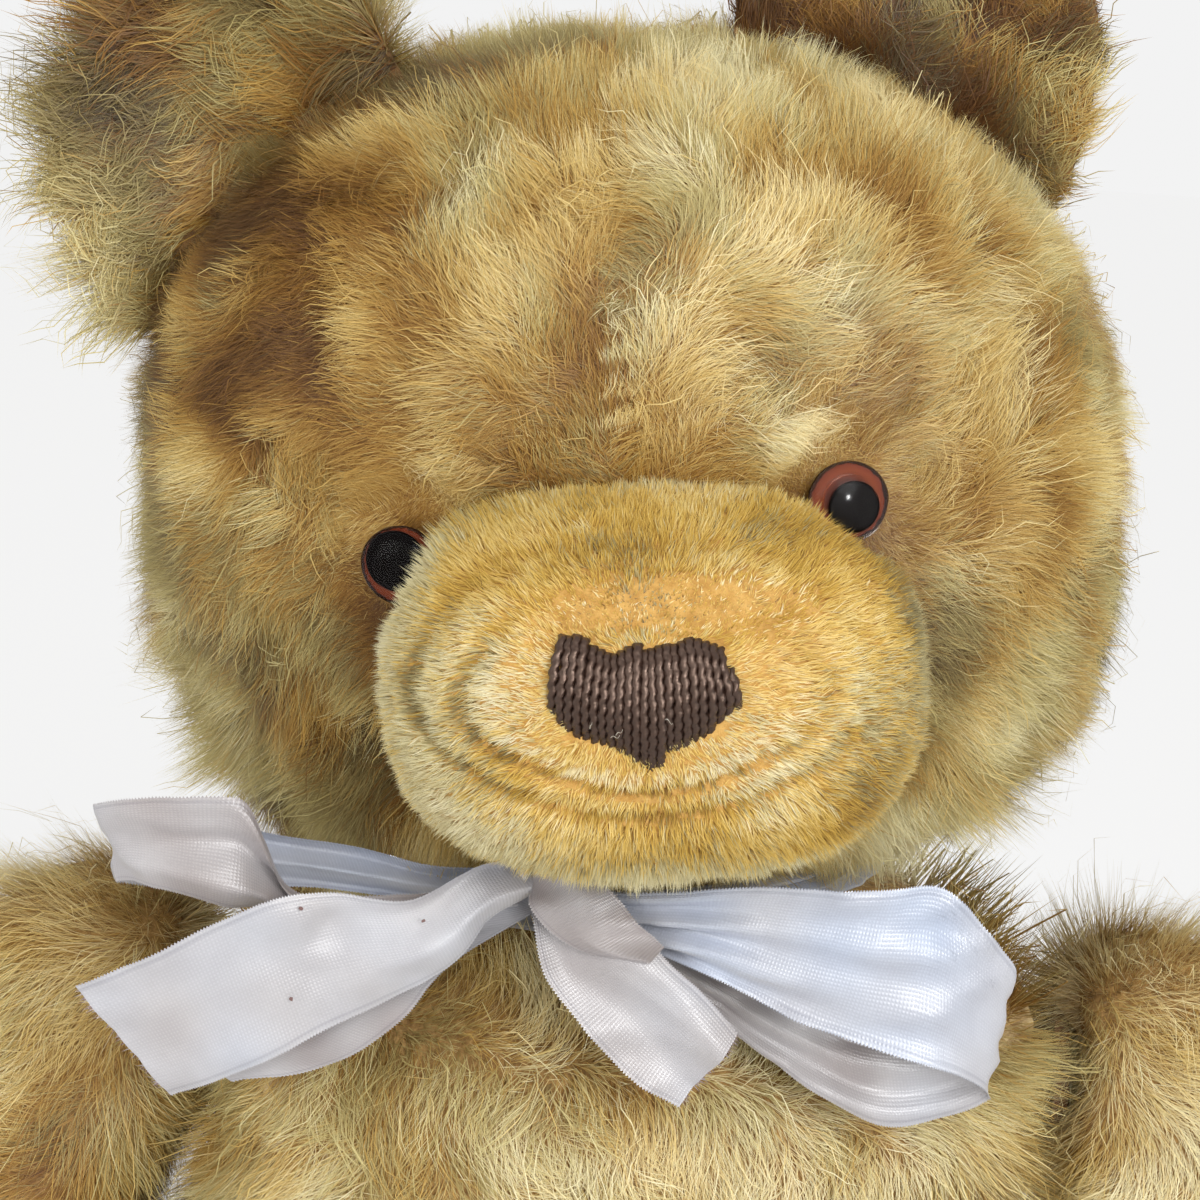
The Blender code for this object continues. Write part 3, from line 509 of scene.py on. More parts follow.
def pile_finish(name, warm=WARM, grey=GREY, root_painted_shade=(0.62, 0.48, 0.33, 1), roughness=0.48):
    """Mohair: each strand darkened towards its root as painted shade, and as pale as its tone asks
    from its middle up.
    """
    made, tree, shader = new_finish(name, Roughness=roughness, Specular_IOR_Level=0.35,
                                    Sheen_Weight=0.15, Sheen_Tint=colour(255, 240, 205))
    place = add_node(tree, "UVMap", uv_map="OFBake")
    split = add_node(tree, "SeparateXYZ", (place.outputs["UV"],))
    stops = [(0.02 + 0.11 * k, colour(*shade)) for k, shade in enumerate(warm)]
    stops += [(0.52 + 0.11 * k, colour(*shade)) for k, shade in enumerate(grey)]
    tips = ramp(tree, split.outputs["X"], stops)
    # Painted shade: each strand's colour is darkened towards its root, where the pile lies in
    # shade.
    fade = ramp(tree, split.outputs["Y"], ((0.0, (0, 0, 0, 1)), (0.5, (1, 1, 1, 1))))
    roots = mix_colours(tree, 1, tips, root_painted_shade, "MULTIPLY")
    shade = mix_colours(tree, fade, roots, tips)
    tree.links.new(shade, shader.inputs["Base Color"])
    through = add_node(tree, "BsdfTranslucent", (shade,))
    mix_shaders(tree, 0.25, shader, through, tree.nodes["Material Output"])
    return made


def backing_finish(name, dark, light):
    """The woven backing, seen only deep between the tufts."""
    return grain_finish(name, dark, light, 420, (1, 1, 1), 0.95, depth=0.8 * MM)


def from_controls(points, controls, sharpness=3.0):
    """Blends rows of (place, values) to any place, by the inverse of the distance."""
    places = np.array([row[0] for row in controls], float) * MM
    values = np.array([row[1] for row in controls], float)
    gaps = np.linalg.norm(points[:, None, :] - places[None], axis=2) + 4 * MM
    weights = gaps ** -sharpness
    weights /= weights.sum(1, keepdims=True)
    return weights @ values


HEAD_LEAN = math.radians(6)
head_up = np.array([-math.sin(HEAD_LEAN), 0, math.cos(HEAD_LEAN)])
head_right = np.array([math.cos(HEAD_LEAN), 0, math.sin(HEAD_LEAN)])
head_axes = np.stack([head_right, [0, -1, 0], head_up])
head_centre = np.array(HEAD_CENTRE)

# Rows of ((right, forward, up) from the head's centre in mm, (the way the pile lies, its length
# and height as shares, tone, greyness)).
HEAD_PILE = (
    ((-34, 11, 74), (-0.1, -1.0, 0.1, 0.95, 1.5, 0.56, 0.6)),
    ((-10, 13, 78), (0.0, -1.0, 0.1, 1.0, 1.4, 0.62, 0.6)),
    ((12, 20, 76), (0.1, -1.0, 0.3, 0.9, 1.3, 0.66, 0.6)),
    ((-20, 50, 55), (-0.6, -0.6, 0.5, 0.9, 0.9, 0.53, 0.3)),
    ((-3, 58, 47), (-0.5, -0.5, 0.7, 0.95, 0.9, 0.59, 0.3)),
    ((21, 52, 52), (-0.1, -0.6, 0.8, 1.0, 1.0, 0.67, 0.6)),
    ((27, 61, 35), (0.8, -0.4, 0.4, 1.0, 1.0, 0.67, 0.5)),
    ((58, 41, 43), (0.8, -0.5, -0.2, 1.1, 1.0, 0.57, 0.4)),
    ((83, 27, 22), (0.5, -0.9, -0.2, 1.1, 1.1, 0.54, 0.5)),
    ((-71, 24, 45), (-0.7, -0.3, -0.6, 0.6, 0.6, 0.17, 0.2)),
    ((-50, 48, 42), (-0.9, -0.2, -0.5, 0.55, 0.6, 0.19, 0.0)),
    ((-60, 40, 25), (-0.9, -0.2, -0.5, 0.6, 0.6, 0.15, 0.0)),
    ((-92, 8, 25), (-0.9, 0.2, -0.4, 1.0, 1.3, 0.32, 0.7)),
    ((-80, -5, 52), (-0.8, 0.0, -0.5, 1.1, 1.8, 0.29, 0.6)),
    ((-37, 63, 23), (-0.9, -0.4, 0.0, 0.7, 0.7, 0.39, 0.1)),
    ((-10, 69, 20), (-0.7, -0.2, 0.6, 0.9, 0.8, 0.62, 0.3)),
    ((5, 71, 15), (-0.3, -0.2, 0.9, 0.9, 0.9, 0.66, 0.3)),
    ((23, 68, 15), (0.9, -0.3, 0.4, 0.9, 0.9, 0.66, 0.4)),
    ((56, 58, 3), (0.8, -0.5, 0.2, 0.9, 0.9, 0.54, 0.2)),
    ((62, 50, -22), (0.7, -0.6, -0.3, 1.1, 1.0, 0.58, 0.5)),
    ((90, 14, -25), (0.9, 0.3, -0.3, 1.2, 1.0, 0.6, 0.7)),
    ((55, 33, -54), (0.5, -0.3, -0.8, 1.4, 1.4, 0.66, 0.7)),
    ((78, 5, -50), (0.8, 0.2, -0.6, 1.3, 1.7, 0.6, 0.8)),
    ((62, 25, -72), (0.7, 0.2, -0.7, 1.4, 2.3, 0.46, 0.7)),
    ((-68, 49, -11), (-0.3, -0.4, -0.8, 1.1, 0.8, 0.45, 0.5)),
    ((-87, 26, -4), (-0.3, -0.9, -0.4, 1.1, 1.0, 0.45, 0.7)),
    ((-73, 20, -50), (-0.3, -0.2, -0.9, 1.3, 2.6, 0.52, 0.7)),
    ((-60, 25, -69), (-0.4, 0.2, -0.9, 1.2, 2.9, 0.48, 0.6)),
    ((-53, 55, -24), (0.0, -0.2, -0.9, 1.1, 0.8, 0.39, 0.5)),
    ((0, -30, 78), (0.0, -1.0, -0.2, 1.0, 1.0, 0.45, 0.6)),
    ((0, -75, 20), (0.0, -0.2, -1.0, 1.1, 1.0, 0.42, 0.5)),
    ((0, -70, -40), (0.0, 0.0, -1.0, 1.1, 1.0, 0.37, 0.5)),
    ((75, -45, 10), (0.2, -0.6, -0.8, 1.1, 1.0, 0.42, 0.6)),
    ((-75, -45, 10), (-0.2, -0.6, -0.8, 1.1, 1.0, 0.37, 0.6)),
    ((60, -40, -50), (0.3, -0.2, -0.9, 1.1, 1.0, 0.37, 0.6)),
    ((-60, -40, -50), (-0.3, -0.2, -0.9, 1.1, 1.0, 0.37, 0.6)),
    # Under the head the pile is darker, as painted shade.
    ((0, 20, -75), (0.0, -0.6, -0.6, 0.6, 0.5, 0.24, 0.5)),
)
EYE_ROOM = 7.4 * MM
SHORT_ROUND_EYE = 19 * MM
MUZZLE_MIDDLE = np.array([4, 0, -27]) * MM  # in the head's axes
eye_centres = {label: np.array(sum(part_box(f"eye_{label}_glass"), Vector()) / 2)
               for label in ("left", "right")}


def in_head(places):
    return (places - head_centre) @ head_axes.T


def from_eyes(places):
    """The distance to the nearer eye, and the way out from it."""
    outs = [places - centre for centre in eye_centres.values()]
    gaps = [np.linalg.norm(out, axis=1) for out in outs]
    nearer = gaps[0] < gaps[1]
    return np.minimum(*gaps), unit(np.where(nearer[:, None], outs[0], outs[1]))


def in_muzzle(places):
    """Below 1 inside the muzzle's outline on the face."""
    local = in_head(places) - MUZZLE_MIDDLE
    reach = np.hypot(local[:, 0] / (45.5 * MM), local[:, 2] / (32.5 * MM))
    return np.where(local[:, 1] > 20 * MM, reach, 9.0)


def head_comb(places, ups):
    rows = from_controls(in_head(places), HEAD_PILE)
    way = rows[:, :3] @ head_axes
    gap, out = from_eyes(places)
    near = np.clip(1.25 * (SHORT_ROUND_EYE - gap) / (SHORT_ROUND_EYE - EYE_ROOM), 0, 1)
    way = way * (1 - near)[:, None] + out * near[:, None]
    long = rows[:, 3] * (1 - 0.82 * near)
    tall = rows[:, 4] * (1 - 0.78 * near)
    # Next to the muzzle the pile is shorter, and darker as painted shade where it meets the
    # muzzle.
    rim = np.clip((1.35 - in_muzzle(places)) / 0.35, 0, 1)
    long = long * (1 - 0.35 * rim)
    tone = rows[:, 5] * (1 - 0.1 * near) * (1 - 0.3 * rim)
    grey = rows[:, 6] * (1 - near)
    return way, long, tall, tone, grey


def head_density(places, ups, want):
    local = in_head(places)
    gap, _ = from_eyes(places)
    thick = np.where(gap < EYE_ROOM, 0.0, np.where(gap < SHORT_ROUND_EYE, 2.5, 1.0))
    thick *= in_muzzle(places) > 0.97
    neck = (local[:, 2] < -70 * MM) & (np.hypot(local[:, 0], local[:, 1]) < 46 * MM)
    return thick * ~neck * want(local)


head_skin = skin_over("head_backing", "head_cover", filling="head_stuffing")
head_skin.data.materials.append(backing_finish("head_backing", (126, 92, 46), (176, 138, 80)))
mohair = pile_finish("mohair_pile")
FACE_EDGE = -8.3 * MM
PARTING = 0.7 * MM


def on_left(local):
    return (local[:, 1] > FACE_EDGE) & (local[:, 0] > PARTING)


def on_right(local):
    return (local[:, 1] > FACE_EDGE) & (local[:, 0] <= PARTING)


face_pile = dict(lock_gap=6.5 * MM, width=0.21 * MM, length=12 * MM, clump=0.45, stray=0.02,
                 fine=140000)
for piece in (
    grow_pile("head_pile_left", head_skin, 3200, 13, lambda p, n: head_density(p, n, on_left),
              head_comb, **face_pile),
    grow_pile("head_pile_right", head_skin, 3200, 21, lambda p, n: head_density(p, n, on_right),
              head_comb, **face_pile),
    grow_pile("head_pile_back", head_skin, 3500, 31,
              lambda p, n: head_density(p, n, lambda local: local[:, 1] <= FACE_EDGE),
              head_comb, 8.5 * MM, 0.6 * MM, steps=3, fine=30000),
):
    piece.data.materials.append(mohair)
    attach(piece, "head")
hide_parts("head_cover")
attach(head_skin, "head")

# --- Muzzle ------------------------------------------------------------------------------------
# A cap of short-piled plush let into the face. Its pile runs out from the nose on all sides, is
# creased to the left and below it, and is rubbed down to crumbs above it.

muzzle_skin = skin_over("muzzle_backing", "muzzle_cover", 0.4 * MM, even=2.4 * MM)
nose_low, nose_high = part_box("nose_stitching")
nose_middle = np.array((nose_low + nose_high) / 2)


def round_nose(places):
    """How far out each place is in the flat ring round the nose, which is 1 at the first crease,
    and its angle there from the nose's left, upwards."""
    out = (places - nose_middle) @ head_axes.T
    reach = np.hypot(out[:, 0] / (28 * MM), (out[:, 2] + 0.5 * MM) / (15.5 * MM))
    return reach, np.arctan2(out[:, 2] / 15.5, out[:, 0] / 28)


def muzzle_crease(places):
    """How deep each place lies in the creases that ring the nose, from 0 to 1."""
    reach, angle = round_nose(places)
    side = np.clip(np.cos(angle + 2.2) * 1.1 + 0.55, 0.25, 1)  # most to the left and below
    folds = [np.exp(-((reach + 0.04 * np.sin(5 * angle) - at) / 0.055) ** 2) for at in (1.0, 1.3)]
    return np.clip(side * (folds[0] + 0.8 * folds[1]), 0, 1)


spots = got(muzzle_skin.data.vertices, "co", 3)
inward = unit(head_centre + head_axes.T @ (MUZZLE_MIDDLE + [0, 0.06, 0]) - spots)
spots = spots + inward * (2.4 * MM * muzzle_crease(spots))[:, None]
muzzle_skin.data.vertices.foreach_set("co", spots.ravel())
muzzle_skin.data.update()

# Rows of ((right, forward, up) from the head's centre, (length, height, tone, greyness)).
MUZZLE_PILE = (
    ((0, 112, 2), (0.8, 0.8, 0.56, 0.0)),
    ((0, 90, 8), (1.0, 0.9, 0.58, 0.05)),
    ((-22, 95, 2), (0.9, 1.0, 0.56, 0.15)),
    ((-34, 76, 4), (1.0, 2.4, 0.5, 0.5)),
    ((30, 105, 0), (0.8, 0.8, 0.56, 0.05)),
    ((48, 80, -20), (0.8, 1.0, 0.34, 0.8)),
    ((46, 86, -8), (0.8, 1.0, 0.2, 0.4)),
    ((40, 95, -35), (0.8, 1.0, 0.36, 0.5)),
    ((-18, 112, -20), (1.0, 0.8, 0.85, 0.5)),
    ((-25, 108, -28), (0.9, 0.9, 0.7, 0.5)),
    ((-38, 90, -20), (0.6, 1.1, 0.66, 0.7)),
    ((-42, 80, -10), (0.6, 1.1, 0.56, 0.9)),
    ((-44, 70, -30), (0.6, 1.1, 0.46, 1.0)),
    ((-38, 85, -45), (0.7, 1.0, 0.64, 0.9)),
    ((0, 108, -45), (1.0, 1.0, 0.6, 0.2)),
    ((0, 98, -56), (0.9, 1.7, 0.75, 0.7)),
    ((26, 95, -54), (0.9, 1.6, 0.6, 0.6)),
    ((24, 112, -22), (1.0, 0.8, 0.74, 0.3)),
    ((30, 108, -12), (1.0, 0.8, 0.66, 0.3)),
)


def muzzle_worn(places):
    """Where the pile above the nose is rubbed down to crumbs."""
    local = in_head(places)
    patch = np.hypot((local[:, 0] - 12 * MM) / (18 * MM), (local[:, 2] + 7 * MM) / (4.5 * MM))
    return (patch + 0.35 * waves_in_space(places, 77, 0.009) < 1) & (local[:, 1] > 90 * MM)


def muzzle_comb(places, ups):
    rows = from_controls(in_head(places), MUZZLE_PILE)
    way = places - nose_middle + head_axes[1] * 4 * MM
    near = np.linalg.norm(places - nose_middle, axis=1)
    hug = np.clip((near - 15 * MM) / (10 * MM), 0.55, 1)
    reach, angle = round_nose(places)
    # Painted shade and highlight: the pile is darker in the creases round the nose, and paler in
    # fine streaks along a ridge inside them.
    ridge_highlight = np.exp(-((reach - 0.86) / 0.09) ** 2) * np.clip(0.3 - np.cos(angle - 1.57), 0, 1)
    tone = rows[:, 2] - 0.6 * muzzle_crease(places) + 0.3 * ridge_highlight
    tone = tone + ridge_highlight * 0.3 * np.sin(34 * angle + 9 * reach)
    worn = muzzle_worn(places)
    crumb = waves_in_space(places, 78, 0.0014) > 0.75
    tone = np.where(worn, np.where(crumb, 0.9, 0.42), tone)
    low = hug * np.where(worn, np.where(crumb, 0.55, 0.35), 1.0)
    return way, rows[:, 0] * low, rows[:, 1] * low, tone, np.where(worn, 0.1, rows[:, 3])


def muzzle_density(places, ups):
    local = in_head(places)
    under_nose = (np.abs(local[:, 0] - 3 * MM) < 12 * MM) & \
        (np.abs(local[:, 2] + 18 * MM) < 7 * MM) & (local[:, 1] > 100 * MM)
    hidden = local[:, 1] < 42 * MM
    gap, _ = from_eyes(places)
    return ~under_nose * ~hidden * (gap > 8 * MM) * 1.0


muzzle_skin.data.materials.append(
    backing_finish("muzzle_backing", (176, 130, 58), (206, 162, 88)))
muzzle_warm = ((140, 106, 38), (190, 152, 58), (224, 188, 90), (240, 216, 138), (250, 238, 192))
muzzle_grey = ((112, 100, 60), (158, 144, 94), (202, 188, 134), (230, 220, 172), (248, 242, 208))
# Its strands are darkened less towards their roots, a lighter painted shade.
muzzle_pile = pile_finish("muzzle_pile", muzzle_warm, muzzle_grey, (0.72, 0.6, 0.42, 1))
piece = grow_pile("muzzle_pile", muzzle_skin, 102000, 41, muzzle_density, muzzle_comb,
                  2.2 * MM, 0.24 * MM, steps=1, length=2.9 * MM, height=2.0 * MM, clump=0.25,
                  curl=0.2, swirl=0.15, swirl_size=0.02, stray=0.02, dark=0.03, tufting=0.15)
piece.data.materials.append(muzzle_pile)
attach(piece, "head")
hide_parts("muzzle_cover")
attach(muzzle_skin, "head")

# --- Ears --------------------------------------------------------------------------------------
# Each ear is two layers of the same mohair, turned, cupped forward and whipped to the head along
# its root, where the pile has parted and is darker. The right one's locks hang in long waves.

NECK = Vector((0, -8, 243.4)) * MM
FACE_ROLL = 6.5
SIDES = (("left", 1), ("right", -1))


def placed(base, x, y, z, turn=0, axis="Z"):
    """A place in another's axes: so many millimetres along them, then turned by degrees."""
    return base @ Matrix.Translation(Vector((x, y, z)) * MM) \
        @ Matrix.Rotation(math.radians(turn), 4, axis)


head_place = Matrix.Translation(NECK) @ Matrix.Rotation(-HEAD_LEAN, 4, "Y")
face_place = placed(head_place, 0, 0, 77, -FACE_ROLL, "Y")


def bare_copy(name, node):
    """A copy of a frame node without its finish, picked to be worked on."""
    piece = put(name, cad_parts[node].data.copy())
    piece.data.materials.clear()
    picked(piece)
    return piece


def smoothed_copy(name, node, inset):
    """A copy of a frame node, merged, rounded and sunk a little."""
    piece = bare_copy(name, node)
    bpy.ops.object.mode_set(mode="EDIT")
    bpy.ops.mesh.select_all(action="SELECT")
    bpy.ops.mesh.remove_doubles(threshold=0.01 * MM)
    bpy.ops.object.mode_set(mode="OBJECT")
    modify(piece, "SUBSURF", levels=1, render_levels=1)
    modify(piece, "DISPLACE", mid_level=0, strength=-inset)
    apply_modifiers(piece)
    bpy.ops.object.shade_smooth()
    return piece


HALF_EAR = 34 * MM
ear_backing = backing_finish("ear_backing", (96, 68, 38), (146, 108, 62))
for label, side in SIDES:
    ear_place = placed(face_place, side * 60, 4, 56, side * 34.4, "Y")
    ear_axes = np.array(ear_place.to_3x3()).T
    ear_root = np.array(ear_place.translation)
    ear = smoothed_copy(f"ear_{label}_backing", f"ear_{label}", 0.4 * MM)
    ear.data.materials.append(ear_backing)

    def ear_comb(places, ups, side=side, ear_axes=ear_axes, ear_root=ear_root):
        local = (places - ear_root) @ ear_axes.T
        x, z = local[:, 0], local[:, 2]
        fan = local + [0, 0, 26 * MM]
        front = ups @ ear_axes[1] < 0
        rim = np.clip(np.hypot(x / HALF_EAR, (z - 8 * MM) / (30 * MM)), 0, 1) ** 4
        if side < 0:  # its locks lie outward across the cup, and stand up at its rim
            sweep = np.array([-0.9, 0.0, 0.25]) + fan / (90 * MM)
            edge = np.clip(np.abs(x) / HALF_EAR, 0, 1) ** 2
            grey, long, tall = 0.55, 1 + 0.15 * rim, 0.8 + 1.7 * rim
        else:
            sweep = fan / (40 * MM)
            edge = np.clip(x / HALF_EAR, 0, 1) ** 2
            grey, long, tall = 0.35, 1 - 0.3 * rim, 0.8 - 0.3 * rim
        way = np.where(front[:, None], sweep, fan / (40 * MM)) @ ear_axes
        root = np.clip(1 - z / (18 * MM), 0, 1)
        # Inside the cup the pile is darker than on the back, as painted shade; it is darker still
        # towards the root and paler towards the edge.
        tone = np.where(front, 0.26, 0.42) + 0.3 * edge - 0.2 * root
        return way, long, tall, tone, grey + 0.2 * edge

    def ear_density(places, ups):
        return (np.linalg.norm((places - head_centre) / [97 * MM, 77 * MM, 80 * MM], axis=1)
                > 0.98) * 1.0

    piece = grow_pile(f"ear_{label}_pile", ear, 3500 if side < 0 else 1500, 51 + side, ear_density,
                      ear_comb, 7 * MM, 0.24 * MM, curl=1.1, swirl=0.35, stray=0.02,
                      fine=36000 if side < 0 else 30000)
    piece.data.materials.append(mohair)
    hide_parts(f"ear_{label}")
    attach(piece, "head")
    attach(ear, "head")

# --- Eyes --------------------------------------------------------------------------------------
# Old glass eyes: a clear dome fused over a red-brown enamel iris and a black pupil, on a wire loop
# that is drawn into the head.

def noise(tree, scale, **settings):
    """Noise over the piece itself, as a factor."""
    place = add_node(tree, "TexCoord").outputs["Object"]
    return add_node(tree, "TexNoise", (place,), Scale=scale, **settings).outputs["Fac"]


def turned_disc(name, radius, low, high, rounding, seat):
    """A round plug between two heights on the seat's axis, with a softened upper edge."""
    bpy.ops.object.select_all(action="DESELECT")
    bpy.ops.mesh.primitive_cylinder_add(vertices=48, radius=radius, depth=high - low,
                                        location=(0, 0, (low + high) / 2))
    piece = bpy.context.active_object
    piece.name = name
    bpy.ops.object.transform_apply()
    modify(piece, "BEVEL", width=rounding, segments=4, angle_limit=math.radians(60))
    apply_modifiers(piece)
    bpy.ops.object.shade_smooth_by_angle(angle=math.radians(50))
    piece.data.transform(seat)
    return piece


GLASS_RADIUS = 7 * MM
GLASS_RISE = 3.4 * MM
GLASS_SEAT = 2.4 * MM


def glass_dome(name, seat):
    """Half a flattened ball on a short rim, hollowed underneath for the pupil."""
    bpy.ops.object.select_all(action="DESELECT")
    bpy.ops.mesh.primitive_uv_sphere_add(segments=64, ring_count=32, radius=GLASS_RADIUS)
    piece = bpy.context.active_object
    piece.name = name
    piece.scale.z = GLASS_RISE / GLASS_RADIUS
    bpy.ops.object.transform_apply()
    in_one_order(piece)
    bpy.ops.object.mode_set(mode="EDIT")
    bpy.ops.mesh.select_all(action="SELECT")
    bpy.ops.mesh.bisect(plane_co=(0, 0, 0.0001 * MM), plane_no=(0, 0, 1), use_fill=True,
                        clear_inner=True)
    bpy.ops.mesh.extrude_region_move(TRANSFORM_OT_translate={"value": (0, 0, -0.8 * MM)})
    bpy.ops.mesh.inset(thickness=2.4 * MM)
    bpy.ops.mesh.extrude_region_move(TRANSFORM_OT_translate={"value": (0, 0, 1.15 * MM)})
    bpy.ops.mesh.select_all(action="SELECT")
    bpy.ops.mesh.normals_make_consistent()
    bpy.ops.object.mode_set(mode="OBJECT")
    bpy.ops.object.shade_smooth_by_angle(angle=math.radians(50))
    piece.data.transform(seat @ Matrix.Translation((0, 0, GLASS_SEAT)))
    return piece


def iris_enamel(name, seat):
    """Red-brown enamel in rings about the seat, darkened at its rim as painted shade of the
    glass's edge, wavering like fibres.
    """
    made, tree, shader = new_finish(name, Roughness=0.5, Specular_IOR_Level=0.05)
    place = add_node(tree, "TexCoord").outputs["Object"]
    centred = add_node(tree, "Mapping", (place,), vector_type="TEXTURE",
                       Location=seat.translation, Rotation=seat.to_euler()).outputs[0]
    flat = add_node(tree, "VectorMath", (centred, (1, 1, 0)), operation="MULTIPLY").outputs[0]
    reach = add_node(tree, "VectorMath", (flat,), operation="LENGTH").outputs["Value"]
    share = sum_of(tree, "MULTIPLY", reach, 1 / IRIS_RADIUS)
    sway = add_node(tree, "Math", (noise(tree, 900, Detail=4), 0.16, share),
                    operation="MULTIPLY_ADD").outputs[0]
    # The last, darkest stop is painted shade at the iris's rim, where the glass's edge darkens it.
    bands = ramp(tree, sway, ((0.6, colour(70, 30, 18)), (0.85, colour(118, 58, 34)),
                              (1.0, colour(96, 42, 26)), (1.08, colour(30, 12, 8))))
    tree.links.new(bands, shader.inputs["Base Color"])
    return made


IRIS_RADIUS = 6.7 * MM
clear_glass, tree, shader = new_finish("clear_glass", Roughness=0.12, IOR=1.14,
                                       Transmission_Weight=1, Base_Color=(1, 0.97, 0.95, 1))
path = add_node(tree, "LightPath").outputs
mix_shaders(tree, sum_of(tree, "MAXIMUM", path["Is Shadow Ray"], path["Is Diffuse Ray"]),
            shader, add_node(tree, "BsdfTransparent"), tree.nodes["Material Output"])

black_enamel, tree, shader = new_finish("black_enamel", Roughness=0.3, Base_Color=colour(6, 4, 4),
                                        Specular_IOR_Level=0.02)
add_bump(tree, shader, add_node(tree, "TexNoise", Scale=900).outputs["Fac"], 0.02 * MM)

# Each pupil's radius, and how far it sits off the middle, across and up, in mm.
PUPILS = {"left": (4.3, 0.8, -1.0), "right": (5.2, -0.5, 0.9)}
for label, side in SIDES:
    seat = placed(placed(face_place, side * 38 - 0.7, -67, -3.2, side * 14), 0, 0, 0, 90, "X")
    iris = turned_disc(f"eye_{label}_iris_disc", IRIS_RADIUS, 0.3 * MM, 1.45 * MM, 0.1 * MM, seat)
    wide, across, up = PUPILS[label]
    pupil = turned_disc(f"eye_{label}_pupil_disc", wide * MM, 1.55 * MM, 2.4 * MM, 0.5 * MM,
                        placed(seat, across, up, 0))
    dome = glass_dome(f"eye_{label}_dome", seat)
    red_brown = iris_enamel(f"red_brown_enamel_{label}", seat)
    iris.data.materials.append(red_brown)
    pupil.data.materials.append(black_enamel)
    dome.data.materials.append(clear_glass)
    for piece, node_name, slot in ((iris, f"eye_{label}_iris", "iris_enamel"),
                                   (pupil, f"eye_{label}_pupil", "pupil_enamel"),
                                   (dome, f"eye_{label}_glass", "eye_glass")):
        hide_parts(node_name)
        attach(piece, "head")

# --- Nose --------------------------------------------------------------------------------------
# Twisted dark brown thread laid side by side in satin stitch, from an uneven notched edge down to
# a blunt point, with a few pale hairs of lint caught in it.

NOSE_CORDS = 23
CORD_RADIUS = 0.96 * MM
# The stitching's upper and lower edge, as (across, up) from its middle in mm.
UPPER_EDGE = ((-12.6, 10.6), (-10.4, 10.7), (-7.6, 8.6), (-5.0, 8.0), (-3.4, 8.4), (-2.2, 9.7),
              (-0.8, 9.3), (0.4, 8.4), (2.4, 9.3), (6.8, 10.3), (9.4, 9.8), (11.2, 8.6),
              (12.6, 6.6))
LOWER_EDGE = ((-14.0, -2.8), (-12.4, -5.0), (-9.4, -6.6), (-6.4, -7.1), (-3.8, -8.3), (-1.6, -9.7),
              (0.6, -11.0), (2.4, -11.1), (3.8, -8.6), (7.0, -7.1), (9.2, -5.9), (11.6, -3.8),
              (14.0, -1.8))
nose_place = placed(head_place, 2.8, -114.3, 57.0, math.degrees(HEAD_LEAN - TIP), "Y")


def thread(path, radius, twist, sides):
    """Rings of a two-ply thread along a path: a figure of eight that turns as it runs."""
    run = unit(np.gradient(path, axis=0))
    across = unit(np.cross(run, [0.0, 1.0, 0.0]))
    out = np.cross(across, run)
    walked = np.concatenate([[0], np.cumsum(np.linalg.norm(np.diff(path, axis=0), axis=1))])
    rings = []
    for point, a, b, far in zip(path, across, out, walked):
        turn = 2 * math.pi * far / twist
        angle = np.linspace(0, 2 * math.pi, sides, endpoint=False)
        size = radius * (0.5 + 0.5 * np.abs(np.cos(angle + turn)) ** 1.2)
        rings.append(point + np.outer(size * np.cos(angle), a) + np.outer(size * np.sin(angle), b))
    return rings


def add_tube(work, rings):
    """A closed tube through rings of points, capped at both ends."""
    rows = [[work.verts.new(point) for point in ring] for ring in rings]
    for low, high in zip(rows, rows[1:]):
        for k in range(len(low)):
            after = (k + 1) % len(low)
            work.faces.new((low[k], low[after], high[after], high[k]))
    work.faces.new(list(reversed(rows[0])))
    work.faces.new(rows[-1])


def piece_from(work, name):
    """A smooth-shaded object from finished mesh work, with its faces outward."""
    bmesh.ops.recalc_face_normals(work, faces=work.faces)
    mesh = bpy.data.meshes.new(name)
    work.to_mesh(mesh)
    work.free()
    mesh.polygons.foreach_set("use_smooth", np.ones(len(mesh.polygons), bool))
    return put(name, mesh)


nose_draw = np.random.default_rng(61)
nose_work = bmesh.new()
upper_edge, lower_edge = np.array(UPPER_EDGE), np.array(LOWER_EDGE)
for share in np.linspace(0, 1, NOSE_CORDS):
    ends = []
    for edge in (upper_edge, lower_edge):
        across = edge[0, 0] + (edge[-1, 0] - edge[0, 0]) * share
        ends.append((across, np.interp(across, edge[:, 0], edge[:, 1]) + nose_draw.normal(0, 0.2)))
    wander = nose_draw.uniform(0, 6)
    path = []
    for t in np.linspace(0, 1, 38):
        full = math.sin(math.pi * t)
        x = ends[0][0] + (ends[1][0] - ends[0][0]) * t + (share * 2 - 1) * 0.9 * full \
            + 0.1 * math.sin(9 * t + wander)
        y = 1.4 * (share * 2 - 1) ** 4 + 1.2 + 1.6 * t * t - 3.9 * full ** 0.6
        path.append((x, y, ends[0][1] + (ends[1][1] - ends[0][1]) * t))
    add_tube(nose_work, thread(np.array(path) * MM, CORD_RADIUS, 4.2 * MM, 10))
nose = piece_from(nose_work, "nose_threads")
nose.data.transform(nose_place)
dark_thread, tree, shader = new_finish(
    "dark_thread", Roughness=0.33, Specular_IOR_Level=0.8, Specular_Tint=colour(255, 220, 200),
    Sheen_Weight=0.06, Sheen_Tint=colour(200, 160, 150))
fibre = noise(tree, 1500, Detail=4, Roughness=0.7)
shades = ramp(tree, fibre, ((0.3, colour(22, 14, 10)), (0.7, colour(52, 35, 27))))
tree.links.new(shades, shader.inputs["Base Color"])
add_bump(tree, shader, fibre, 0.12 * MM)
nose.data.materials.append(dark_thread)
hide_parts("nose_stitching")
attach(nose, "head")

